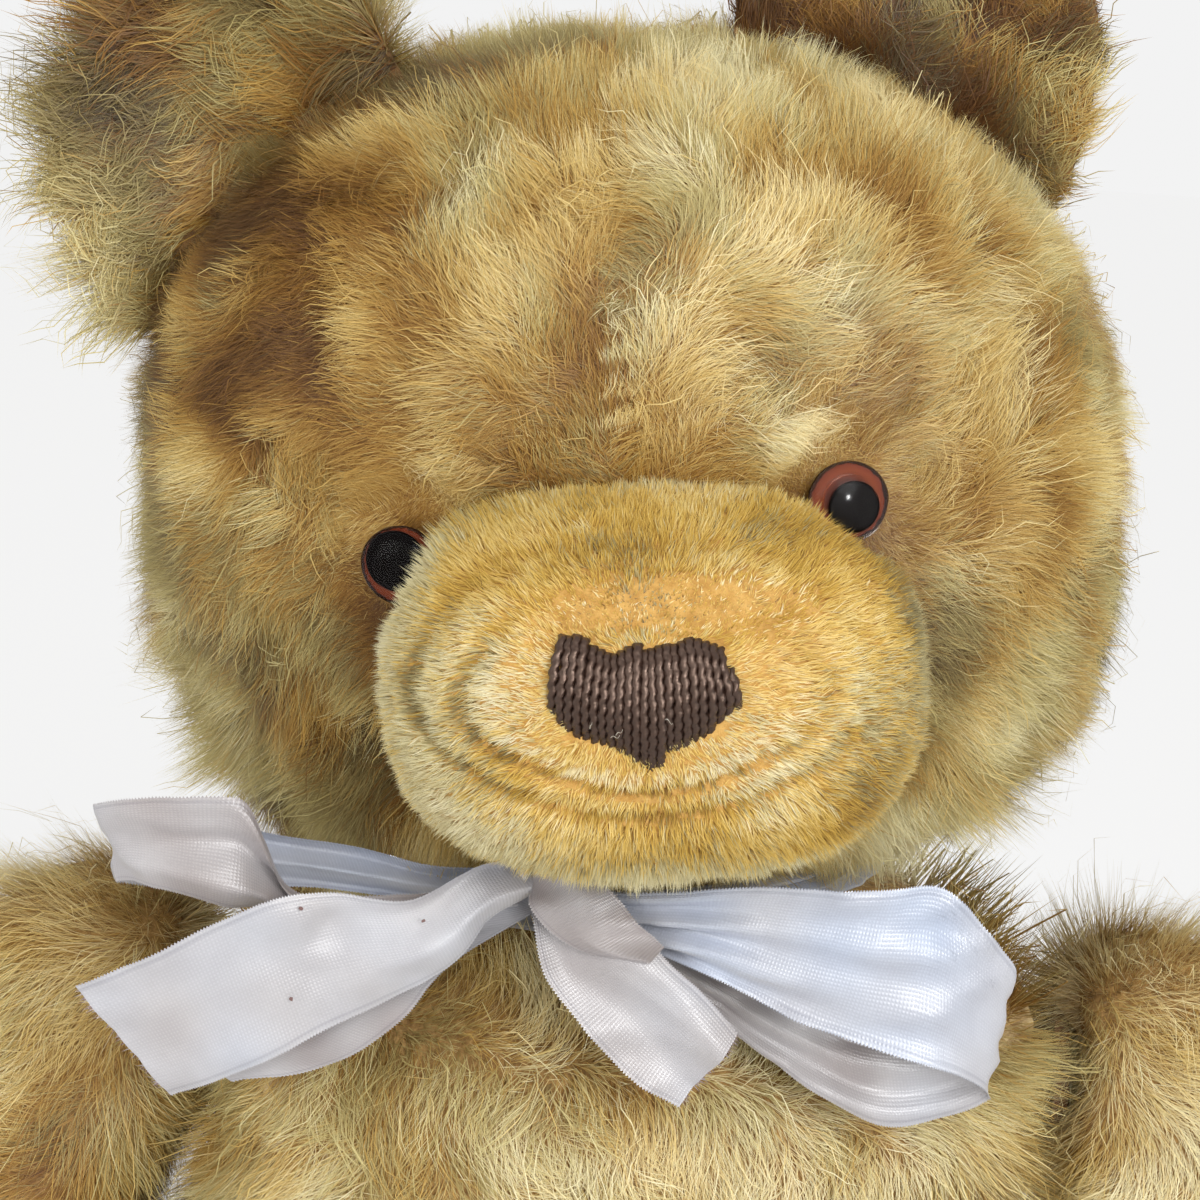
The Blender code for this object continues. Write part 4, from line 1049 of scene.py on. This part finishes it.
lint_work = bmesh.new()
for x, z, turn in ((-8.4, -2.6, 1.3), (-5.2, -4.0, 0.2), (-4.4, -3.6, 0.7), (3.2, -1.0, -0.5)):
    hair = [(x + t * math.cos(turn), -3.6 + 0.5 * (2 * t - 1) ** 2,
             z + t * math.sin(turn) + 0.35 * math.sin(4 * t)) for t in np.linspace(0, 1.5, 9)]
    add_tube(lint_work, thread(np.array(hair) * MM, 0.06 * MM, 9 * MM, 5))
lint = piece_from(lint_work, "nose_lint")
lint.data.transform(nose_place)
lint.data.materials.append(grain_finish("pale_lint", (170, 160, 140), (220, 214, 200), 1200,
                                        (1, 1, 1), 0.7, depth=0.02 * MM))
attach(lint, "head")

# --- Body --------------------------------------------------------------------------------------
# The body is a firm bolster of the same mohair, a little hollow at the hips. Its pile hangs down
# in messy swirls over the chest.

SHOULDER = np.array([84, -4, 190]) * MM
HIP_HEIGHT = 44 * MM
COLLAR_RADIUS = 62 * MM


def body_comb(places, ups):
    x, y, z = places.T
    out = np.clip((np.abs(x) - 58 * MM) / (24 * MM), 0, 1) * (z > 110 * MM)
    ones = np.ones(len(places))
    way = np.stack([0.35 * np.sin(z * 40) + 2.2 * x + 0.5 * out * np.sign(x), -0.1 * ones, -ones],
                   1)
    # Painted light and shade: the pile is paler where it faces forward, darker on the outer
    # shoulders beside the arms, and darker at the top under the head.
    tone = 0.69 - 0.06 * ups[:, 1] - 0.26 * out
    tone -= 0.2 * np.clip((z - 215 * MM) / (20 * MM), 0, 1)
    long = np.where(z < 12 * MM, 0.3, 1.0)
    collar = (z > 222 * MM) & (np.hypot(x, y) < COLLAR_RADIUS)
    long = np.where(collar, 0.4, long)
    crown = np.clip((z - 200 * MM) / (20 * MM), 0, 1) * ~collar
    way = way * (1 - crown[:, None]) + crown[:, None] * [[0.0, -0.3, 1.0]]
    tall = np.where(collar, 0.4, long) + 2.1 * crown + 1.2 * out * (1 - crown)
    return way, long, tall, tone, np.full(len(places), 0.5)


def body_density(places, ups, want):
    x, y, z = places.T
    joint = (np.abs(ups[:, 0]) > 0.9) & (np.hypot(y - SHOULDER[1], z - SHOULDER[2]) < 28 * MM)
    hip = (np.abs(x) > 60 * MM) & (np.hypot(y, z - HIP_HEIGHT) < 30 * MM)
    hidden = (z < 2 * MM) | (z > 240 * MM)
    return ~(joint | hip | hidden) * want(places) * 1.0


def chest_front(places):
    return (places[:, 1] < -12.3 * MM) & (places[:, 2] > 120.4 * MM)


body_skin = skin_over("body_backing", "torso_cover", rounds=3, filling="torso_stuffing")
body_skin.data.materials.append(backing_finish("body_backing", (126, 94, 48), (180, 144, 86)))
for piece in (
    grow_pile("chest_pile", body_skin, 3500, 71,
              lambda p, n: body_density(p, n, chest_front), body_comb, 7.5 * MM, 0.25 * MM,
              swirl=1.0, length=15 * MM, clump=0.45, curl=0.6, stray=0.02, fine=67000,
              tufting=0.7),
    grow_pile("body_pile", body_skin, 3500, 81,
              lambda p, n: body_density(p, n, lambda q: ~chest_front(q)), body_comb,
              10 * MM, 0.6 * MM, steps=3, swirl=0.7, length=17 * MM, fine=30000),
):
    piece.data.materials.append(mohair)
    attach(piece, "torso")
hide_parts("torso_cover")
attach(body_skin, "torso")

# --- Arms and legs -----------------------------------------------------------------------------
# Each is one stuffed tube of mohair with a felt pad let in at its end. The pile runs down the
# limb, and is rubbed short where the limb turns against the body.

felt = grain_finish("felt", (150, 118, 74), (196, 164, 116), 700, (1, 1, 1), 0.95, depth=0.5 * MM)
ARM_DOWN = np.array([0.42, -0.34, -0.84])
ARM_LIE = dict(swirl=0.7, clump=0.45, curl=0.6, stray=0.02, fine=44000, tufting=0.7)
LEG_LIE = dict(swirl=0.6, fine=20000)


def skin_round(name, filling, wall):
    """A closed backing, evenly a wall's thickness outside its filling."""
    skin = bare_copy(name, filling)
    modify(skin, "REMESH", mode="VOXEL", voxel_size=4.5 * MM)
    modify(skin, "SMOOTH", factor=0.5, iterations=4)
    modify(skin, "DISPLACE", mid_level=0, strength=wall)
    modify(skin, "SHRINKWRAP", target=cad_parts[filling], wrap_mode="OUTSIDE",
           offset=1.2 * MM)
    apply_modifiers(skin)
    bpy.ops.object.shade_smooth()
    return skin


def off_pad(places, pad):
    """True where a place is clear of the felt pad."""
    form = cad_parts[pad].data
    tree = BVHTree.FromPolygons([vertex.co for vertex in form.vertices],
                                [tuple(face.vertices) for face in form.polygons])
    return np.array([tree.find_nearest(spot)[3] for spot in places]) > 1.2 * MM


limb_backing = backing_finish("limb_backing", (126, 94, 48), (180, 144, 86))
for label, side in SIDES:
    mirror = np.array([side, 1, 1])

    def arm_comb(places, ups, mirror=mirror):
        out = places * mirror - SHOULDER
        near = np.clip(1 - out[:, 0] / (20 * MM), 0, 1)[:, None]
        rim = unit(out * [0, 1, 1]) + [-0.6, 0, -0.2]
        way = (ARM_DOWN + [0.25, 0, 0.2]) * (1 - near) + rim * near
        near = near[:, 0]
        crest = np.clip((places[:, 2] - 185 * MM) / (20 * MM), 0, 1)
        pale = 0.2
        if mirror[0] < 0:  # the right arm darkens downwards
            pale = np.clip((places[:, 2] - 190 * MM) / (60 * MM), -0.35, 0.14)
        tone = 0.74 - 0.2 * near ** 2 + pale
        tall = 1 + 1.3 * crest + 0.7 * near
        return way * mirror, 1.1 - 0.35 * near, tall, tone, np.full(len(places), 0.45)

    def arm_density(places, ups, mirror=mirror, label=label):
        flat = ((ups * mirror)[:, 0] < -0.85) & ((places * mirror)[:, 0] < SHOULDER[0] + 4 * MM)
        seen = (places[:, 2] > 145 * MM) & (places[:, 1] < 14 * MM)
        return ~flat * off_pad(places, f"paw_pad_{label}") * np.where(seen, 3.0, 1.0)

    def leg_comb(places, ups):
        foot = places[:, 1] < -165 * MM
        way = np.where(foot[:, None], [[0.0, 0.0, 1.0]], [[0.0, -1.0, -0.25]])
        rub = np.where(places[:, 2] < 10 * MM, 0.35, 1.0)
        rub = np.where(np.abs(places[:, 0]) < 80 * MM, 0.5, rub)
        return way, rub, rub, np.full(len(places), 0.55), np.full(len(places), 0.5)

    def leg_density(places, ups, mirror=mirror, label=label):
        flat = (places * mirror)[:, 0] < 72.5 * MM
        return ~(flat | (places[:, 2] < 1.5 * MM)) * off_pad(places, f"foot_pad_{label}") * 1.0

    for limb, end, wall, grown, lie in (
            ("arm", "paw", 1.8 * MM,
             (2200, 91 + side, arm_density, arm_comb, 8 * MM, 0.42 * MM), ARM_LIE),
            ("leg", "foot", 2.0 * MM,
             (2500, 101 + side, leg_density, leg_comb, 10 * MM, 0.65 * MM), LEG_LIE)):
        skin = skin_round(f"{limb}_{label}_backing", f"{limb}_{label}_stuffing", wall)
        skin.data.materials.append(limb_backing)
        piece = grow_pile(f"{limb}_{label}_pile", skin, *grown, steps=3, length=16 * MM, **lie)
        piece.data.materials.append(mohair)
        pad = skin_over(f"{end}_felt_{label}", f"{end}_pad_{label}", -0.6 * MM, even=2.6 * MM,
                        segments=36, rounds=2)
        pad.data.materials.append(felt)
        for part, slot in ((piece, "mohair_plush"), (skin, "mohair_plush"), (pad, "felt")):
            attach(part, f"{limb}_{label}")
        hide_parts(f"{limb}_{label}_cover")
        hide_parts(f"{end}_pad_{label}")

# --- Ribbon ------------------------------------------------------------------------------------
# One length of 25 mm satin ribbon with picot edges, tied in a bow over the neck's groove. It is
# pleated lengthwise where the knot gathers it, faded to mauve grey outside and blue in its folds,
# has two dark specks, and its cut ends are frayed.

RIBBON_WIDTH = 25 * MM
COLUMN = 1.6 * MM
ROWS = 20
FRAYED_THREADS = 90
# Each strip as stations of (point on its upper edge, point on its lower edge) in mm, the number
# of pleats across it, how blue it is from 0 to 1, and whether it ends in a cut.
STRIPS = {
    "loop_right": ((
        ((-22, -64, 250), (-20, -66, 246)),
        ((-37, -66, 250), (-31, -68, 244)),
        ((-51, -67, 253), (-47, -69, 245)),
        ((-68, -68, 255), (-63, -70, 246)),
        ((-82, -69, 258), (-76, -71, 244)),
        ((-93, -71, 260), (-89, -72, 245)),
        ((-97, -76, 261), (-93, -76, 247)),
        ((-92, -81, 264), (-88, -81, 249)),
        ((-81, -84, 266), (-79, -83, 248)),
        ((-70, -84, 266), (-72, -82, 246)),
        ((-66, -82, 258), (-67, -80, 246)),
        ((-63, -80, 250), (-60, -78, 244)),
        ((-43, -78, 249), (-41, -76, 244)),
        ((-24, -73, 251), (-22, -72, 246)),
    ), 1.5, (0.9, 0.75, 0.1, 0.0, 0.3), False),
    "tail_right": ((
        ((-18, -72, 255), (-17, -72, 250.5)),
        ((-29, -78, 256), (-25, -77, 247)),
        ((-41, -83, 250), (-34, -82, 237)),
        ((-54, -85, 251), (-44, -84, 231)),
        ((-64, -87, 250), (-54, -86, 226)),
        ((-74, -88, 245), (-64, -87, 220)),
        ((-87, -88, 237), (-73, -87, 215)),
        ((-98, -87, 231), (-81, -86, 211)),
    ), 1.0, (0.45, 0.34, 0.3), True),
    "tail_right_fold": ((
        ((-22, -72, 250), (-17, -71, 246)),
        ((-36, -77, 244), (-24, -76, 243)),
        ((-47, -80, 237), (-34, -79, 236)),
        ((-59, -82, 229), (-41, -81, 227)),
        ((-70, -83, 222), (-53, -81, 217)),
        ((-79, -83, 217), (-71, -81, 212)),
    ), 0.5, (0.5, 0.1, 0.2), False),
    "loop_left": ((
        ((-15, -72, 251), (-12, -72, 246)),
        ((-1, -80, 253), (0, -79, 243)),
        ((15, -85, 257), (11, -84, 241)),
        ((29, -88, 259), (23, -86, 236)),
        ((42, -89, 260), (37, -88, 232)),
        ((52, -87, 260), (50, -89, 229)),
        ((61, -84, 251), (58, -87, 226)),
        ((66, -80, 243), (63, -84, 222)),
        ((64, -76, 237), (64, -79, 218)),
        ((52, -74, 234), (57, -77, 213)),
        ((38, -74, 236), (46, -78, 211)),
        ((26, -74, 239), (35, -78, 216)),
        ((15, -73, 242), (24, -76, 222)),
        ((4, -71, 245), (11, -73, 230)),
        ((-9, -68, 246), (-4, -69, 238)),
    ), 3.0, (0.8, 0.7, 0.8, 0.3, 0.15, 0.2), False),
    "tail_left": ((
        ((-13, -72, 256), (-20, -73, 252)),
        ((-6, -79, 253), (-19, -80, 247)),
        ((0, -84, 248), (-16, -84, 238)),
        ((5, -86, 243), (-9, -86, 230)),
        ((11, -87, 238), (-1, -87, 222)),
        ((18, -87, 231), (9, -87, 216)),
    ), 1.0, (0.25, 0.18, 0.22), True),
    "tail_left_fold": ((
        ((-15, -74, 257), (-20, -75, 253)),
        ((-8, -82, 256), (-19, -82, 249)),
        ((-1, -86, 250), (-10, -86, 244)),
        ((4, -87, 246), (1, -87, 243)),
    ), 0.5, (0.2, 0.0), False),
}


def through_stations(rows, count):
    """A smooth curve through rows of numbers, at evenly spread places along it."""
    rows = np.array(rows, float)
    knots = np.concatenate([[0], np.cumsum(np.linalg.norm(np.diff(rows, axis=0), axis=1))])
    at = np.linspace(0, knots[-1], count)
    slopes = np.gradient(rows, knots, axis=0)
    k = np.clip(np.searchsorted(knots, at, side="right") - 1, 0, len(rows) - 2)
    gap = (knots[k + 1] - knots[k])[:, None]
    t = ((at - knots[k])[:, None]) / gap
    return ((2 * t ** 3 - 3 * t ** 2 + 1) * rows[k] + (t ** 3 - 2 * t ** 2 + t) * gap * slopes[k]
            + (3 * t ** 2 - 2 * t ** 3) * rows[k + 1] + (t ** 3 - t ** 2) * gap * slopes[k + 1])


def pleated(upper, lower, pleats, seed, closed=False, turn=False):
    """A grid of points between two edges, pleated by as much as the ribbon is wider than them,
    but nearly flat where a loop turns back, halfway along."""
    across = lower - upper
    room = np.linalg.norm(across, axis=1)
    middle = (upper + lower) / 2
    along = np.gradient(middle, axis=0)
    if closed:
        along = np.roll(middle, -1, 0) - np.roll(middle, 1, 0)
    face = unit(np.cross(across, along))
    spare = np.maximum(RIBBON_WIDTH / np.maximum(room, 1 * MM), 1.0)
    depth = 1.57 * np.sqrt(spare ** 2 - 1) * room / (2 * math.pi * pleats)
    depth = np.minimum(depth, 2.3 * MM)
    q = np.linspace(0, 1, ROWS + 1)
    draw = np.random.default_rng(seed)
    walk = np.linspace(0, 1, len(upper))
    if turn:
        depth = np.maximum(depth, 1.0 * MM) * (1 - 0.75 * np.exp(-((walk - 0.5) / 0.1) ** 2))
    drift = 0.8 * np.sin(2 * math.pi * (walk + draw.random()))
    if closed:  # two waves of drift meet again where the ring closes
        drift = 0.8 * np.sin(2 * math.pi * (walk * 2 + draw.random()))
    fold = np.arcsin(0.96 * np.sin(2 * math.pi * pleats * q[None, :] + drift[:, None])) / 1.4
    fold -= fold[:, :1] * (1 - q) ** 3 + fold[:, -1:] * q ** 3
    grid = upper[:, None] + across[:, None] * q[None, :, None]
    grid = grid + face[:, None] * (depth[:, None] * fold)[:, :, None]
    flat = grid.reshape(-1, 3)
    crumple = 1.1 * (0.55 - np.abs(waves_in_space(flat * [0.35, 1, 1.2], seed, 0.014))) \
        + 0.08 * waves_in_space(flat, seed + 1, 0.005)
    lift = (crumple * MM).reshape(grid.shape[:2])
    return grid + face[:, None] * lift[:, :, None]


ribbon_spots, ribbon_faces, ribbon_tint, ribbon_flat = [], [], [], []


def keep_faces(spots, faces, tint, flat):
    """Adds faces to the ribbon, with each point's tint and its place on the flat cloth."""
    base = len(ribbon_spots)
    ribbon_spots.extend(spots)
    ribbon_tint.extend(tint)
    ribbon_flat.extend(flat)
    ribbon_faces.extend([[base + k for k in face] for face in faces])


def lay_strip(grid, blue, cut, seed, closed=False):
    """Adds a grid of ribbon, its picot teeth, and its frayed end if it is cut."""
    columns = len(grid)
    rows = ROWS + 1
    walked = np.linalg.norm(np.diff(grid[:, ROWS // 2], axis=0), axis=1)
    walked = np.concatenate([[0], np.cumsum(walked)]) / RIBBON_WIDTH
    blues = np.interp(np.linspace(0, 1, columns), np.linspace(0, 1, len(blue)), blue)
    flat_grid = grid.reshape(-1, 3)
    shade = np.repeat(blues, rows) + 0.12 * waves_in_space(flat_grid, 5, 0.02)
    tint = [(min(max(b, 0), 1), 0, 0, 1) for b in shade]
    flat = [(walked[k // rows], (k % rows) / ROWS) for k in range(columns * rows)]
    last = columns if closed else columns - 1
    faces = [(a * rows + k, a * rows + k + 1, b * rows + k + 1, b * rows + k)
             for a in range(last) for b in ((a + 1) % columns,) for k in range(ROWS)]
    keep_faces(flat_grid, faces, tint, flat)
    for edge, inner in ((0, 1), (ROWS, ROWS - 1)):
        for a in range(last):
            b = (a + 1) % columns
            start, end = grid[a, edge], grid[b, edge]
            out = unit(start - grid[a, inner]) * 0.35 * MM
            for first in (0.03, 0.36, 0.69):
                tooth = [start + (end - start) * f + o
                         for f, o in ((first, 0), (first + 0.26, 0), (first + 0.13, out))]
                keep_faces(tooth, [(0, 1, 2)], [(blues[a], 0, 0, 1)] * 3,
                           [(walked[a], edge / ROWS)] * 3)
    if cut:
        draw = np.random.default_rng(seed)
        ahead = unit(grid[-1, ROWS // 2] - grid[-3, ROWS // 2])
        for _ in range(FRAYED_THREADS):
            row = draw.integers(0, ROWS)
            root = grid[-1, row] + (grid[-1, row + 1] - grid[-1, row]) * draw.random()
            side = unit(grid[-1, ROWS] - grid[-1, 0]) * draw.uniform(0.05, 0.1) * MM
            tip = root + (ahead + draw.normal(0, 0.35, 3)) * draw.uniform(0.3, 1.5) * MM
            keep_faces([root - side, root + side, tip], [(0, 1, 2)],
                       [(0.2, draw.uniform(0.3, 1), 0, 1)] * 3, [(0, 0)] * 3)


for number, (strip, (stations, pleats, blue, cut)) in enumerate(STRIPS.items()):
    rows = [a + b for a, b in stations]
    reach = sum(math.dist(a[:3], b[:3]) + math.dist(a[3:], b[3:]) for a, b in zip(rows, rows[1:]))
    columns = int(reach / 2 * MM / COLUMN)
    edges = through_stations(rows, columns) * MM
    lay_strip(pleated(edges[:, :3], edges[:, 3:], pleats, 200 + number, turn="loop" in strip),
              blue, cut, 300 + number)

# The band lies in the neck's groove, and the knot is one turn round the bow's middle.
NECK_RADIUS = 48.5 * MM
KNOT_MIDDLE = (-67.5, 252.5)  # its forward place and height, in mm
angles = np.linspace(0, 2 * math.pi, 180, endpoint=False)
band = np.stack([np.cos(angles), 0.95 * np.sin(angles), 0 * angles], 1)
neck_turn = np.array(Matrix.Rotation(-HEAD_LEAN, 3, "Y"))
band_edges = [(band * NECK_RADIUS + [0, 0, height * MM]) @ neck_turn.T + np.array(NECK)
              for height in (0.2, -8.8)]
lay_strip(pleated(*band_edges, 2.5, 240, True), (0.6, 0.3, 0.6, 0.6), False, 0, True)
angles = np.linspace(0, 2 * math.pi, 44, endpoint=False)
knot = np.stack([0 * angles, -6.2 * np.cos(angles), 4.8 * np.sin(angles)], 1) * MM
knot_edges = [knot + np.array([at, *KNOT_MIDDLE]) * MM
              + np.outer(np.cos(angles), [lean, 0, 0]) * MM
              for at, lean in ((-10.5, 1.0), (-24.0, -1.0))]
lay_strip(pleated(*knot_edges, 2.5, 250, True), (0.3, 0.5, 0.3, 0.3), False, 0, True)

speck_draw = np.random.default_rng(9)
for spot in ((-59, -87.6, 249), (-38, -84.6, 247), (-60, -87.8, 232)):
    corners = [np.array(spot) * MM + np.array([math.cos(a), 0, math.sin(a)])
               * speck_draw.uniform(0.25, 0.5) * MM for a in np.linspace(0, 2 * math.pi, 7)[:-1]]
    keep_faces(corners, [tuple(range(6))], [(0, 1, 1, 1)] * 6, [(0, 0)] * 6)

ribbon_mesh = bpy.data.meshes.new("satin_bow")
ribbon_mesh.from_pydata([tuple(spot) for spot in ribbon_spots], [], ribbon_faces)
tints = ribbon_mesh.color_attributes.new("fading", "FLOAT_COLOR", "POINT")
tints.data.foreach_set("color", np.array(ribbon_tint, float).ravel())
cloth_map = ribbon_mesh.uv_layers.new(name="weave")
order = got(ribbon_mesh.loops, "vertex_index", 1, int)[:, 0]
cloth_map.uv.foreach_set("vector", np.array(ribbon_flat, np.float32)[order].ravel())
ribbon_mesh.polygons.foreach_set("use_smooth", np.ones(len(ribbon_mesh.polygons), bool))
ribbon = put("satin_bow", ribbon_mesh)

satin, tree, shader = new_finish("satin", Roughness=0.36, Sheen_Weight=0.25,
                                 Sheen_Tint=colour(245, 245, 255))
fading = add_node(tree, "VertexColor", layer_name="fading").outputs["Color"]
stain = add_node(tree, "SeparateColor", (fading,)).outputs
cloth = add_node(tree, "UVMap", uv_map="weave").outputs["UV"]
warp, weft = (add_node(tree, "TexWave", (cloth,), bands_direction=way, Scale=12.5,
                       Distortion=0.25).outputs["Fac"] for way in "XY")
threads = sum_of(tree, "MULTIPLY", warp, weft)
blotch = add_node(tree, "TexNoise", (cloth,), Scale=2.4, Detail=4).outputs["Fac"]
breadth = add_node(tree, "SeparateXYZ", (cloth,)).outputs["Y"]
dull, pale = (0.8, 0.8, 0.82, 1), (1, 1, 1, 1)
shade = ramp(tree, stain["Red"], ((0.0, colour(156, 148, 146)), (0.22, colour(184, 181, 182)),
                                  (0.5, colour(186, 187, 193)), (1.0, colour(180, 190, 208))))
# It is tired in blotches, lined by its threads, and dull along its selvedges.
for factor, stops in ((blotch, ((0.3, (0.9, 0.89, 0.89, 1)), (0.65, pale))),
                      (threads, ((0.0, (0.9, 0.9, 0.91, 1)), (0.7, pale))),
                      (breadth, ((0.02, pale), (0.035, dull), (0.06, pale),
                                 (0.94, pale), (0.965, dull), (0.98, pale)))):
    shade = mix_colours(tree, 1, shade, ramp(tree, factor, stops), "MULTIPLY")
shade = mix_colours(tree, stain["Green"], shade, colour(110, 82, 78))
tree.links.new(shade, shader.inputs["Base Color"])
add_bump(tree, shader, threads, 0.08 * MM, 0.7)
ribbon_mesh.materials.append(satin)
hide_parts("neck_ribbon")
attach(ribbon, "torso")
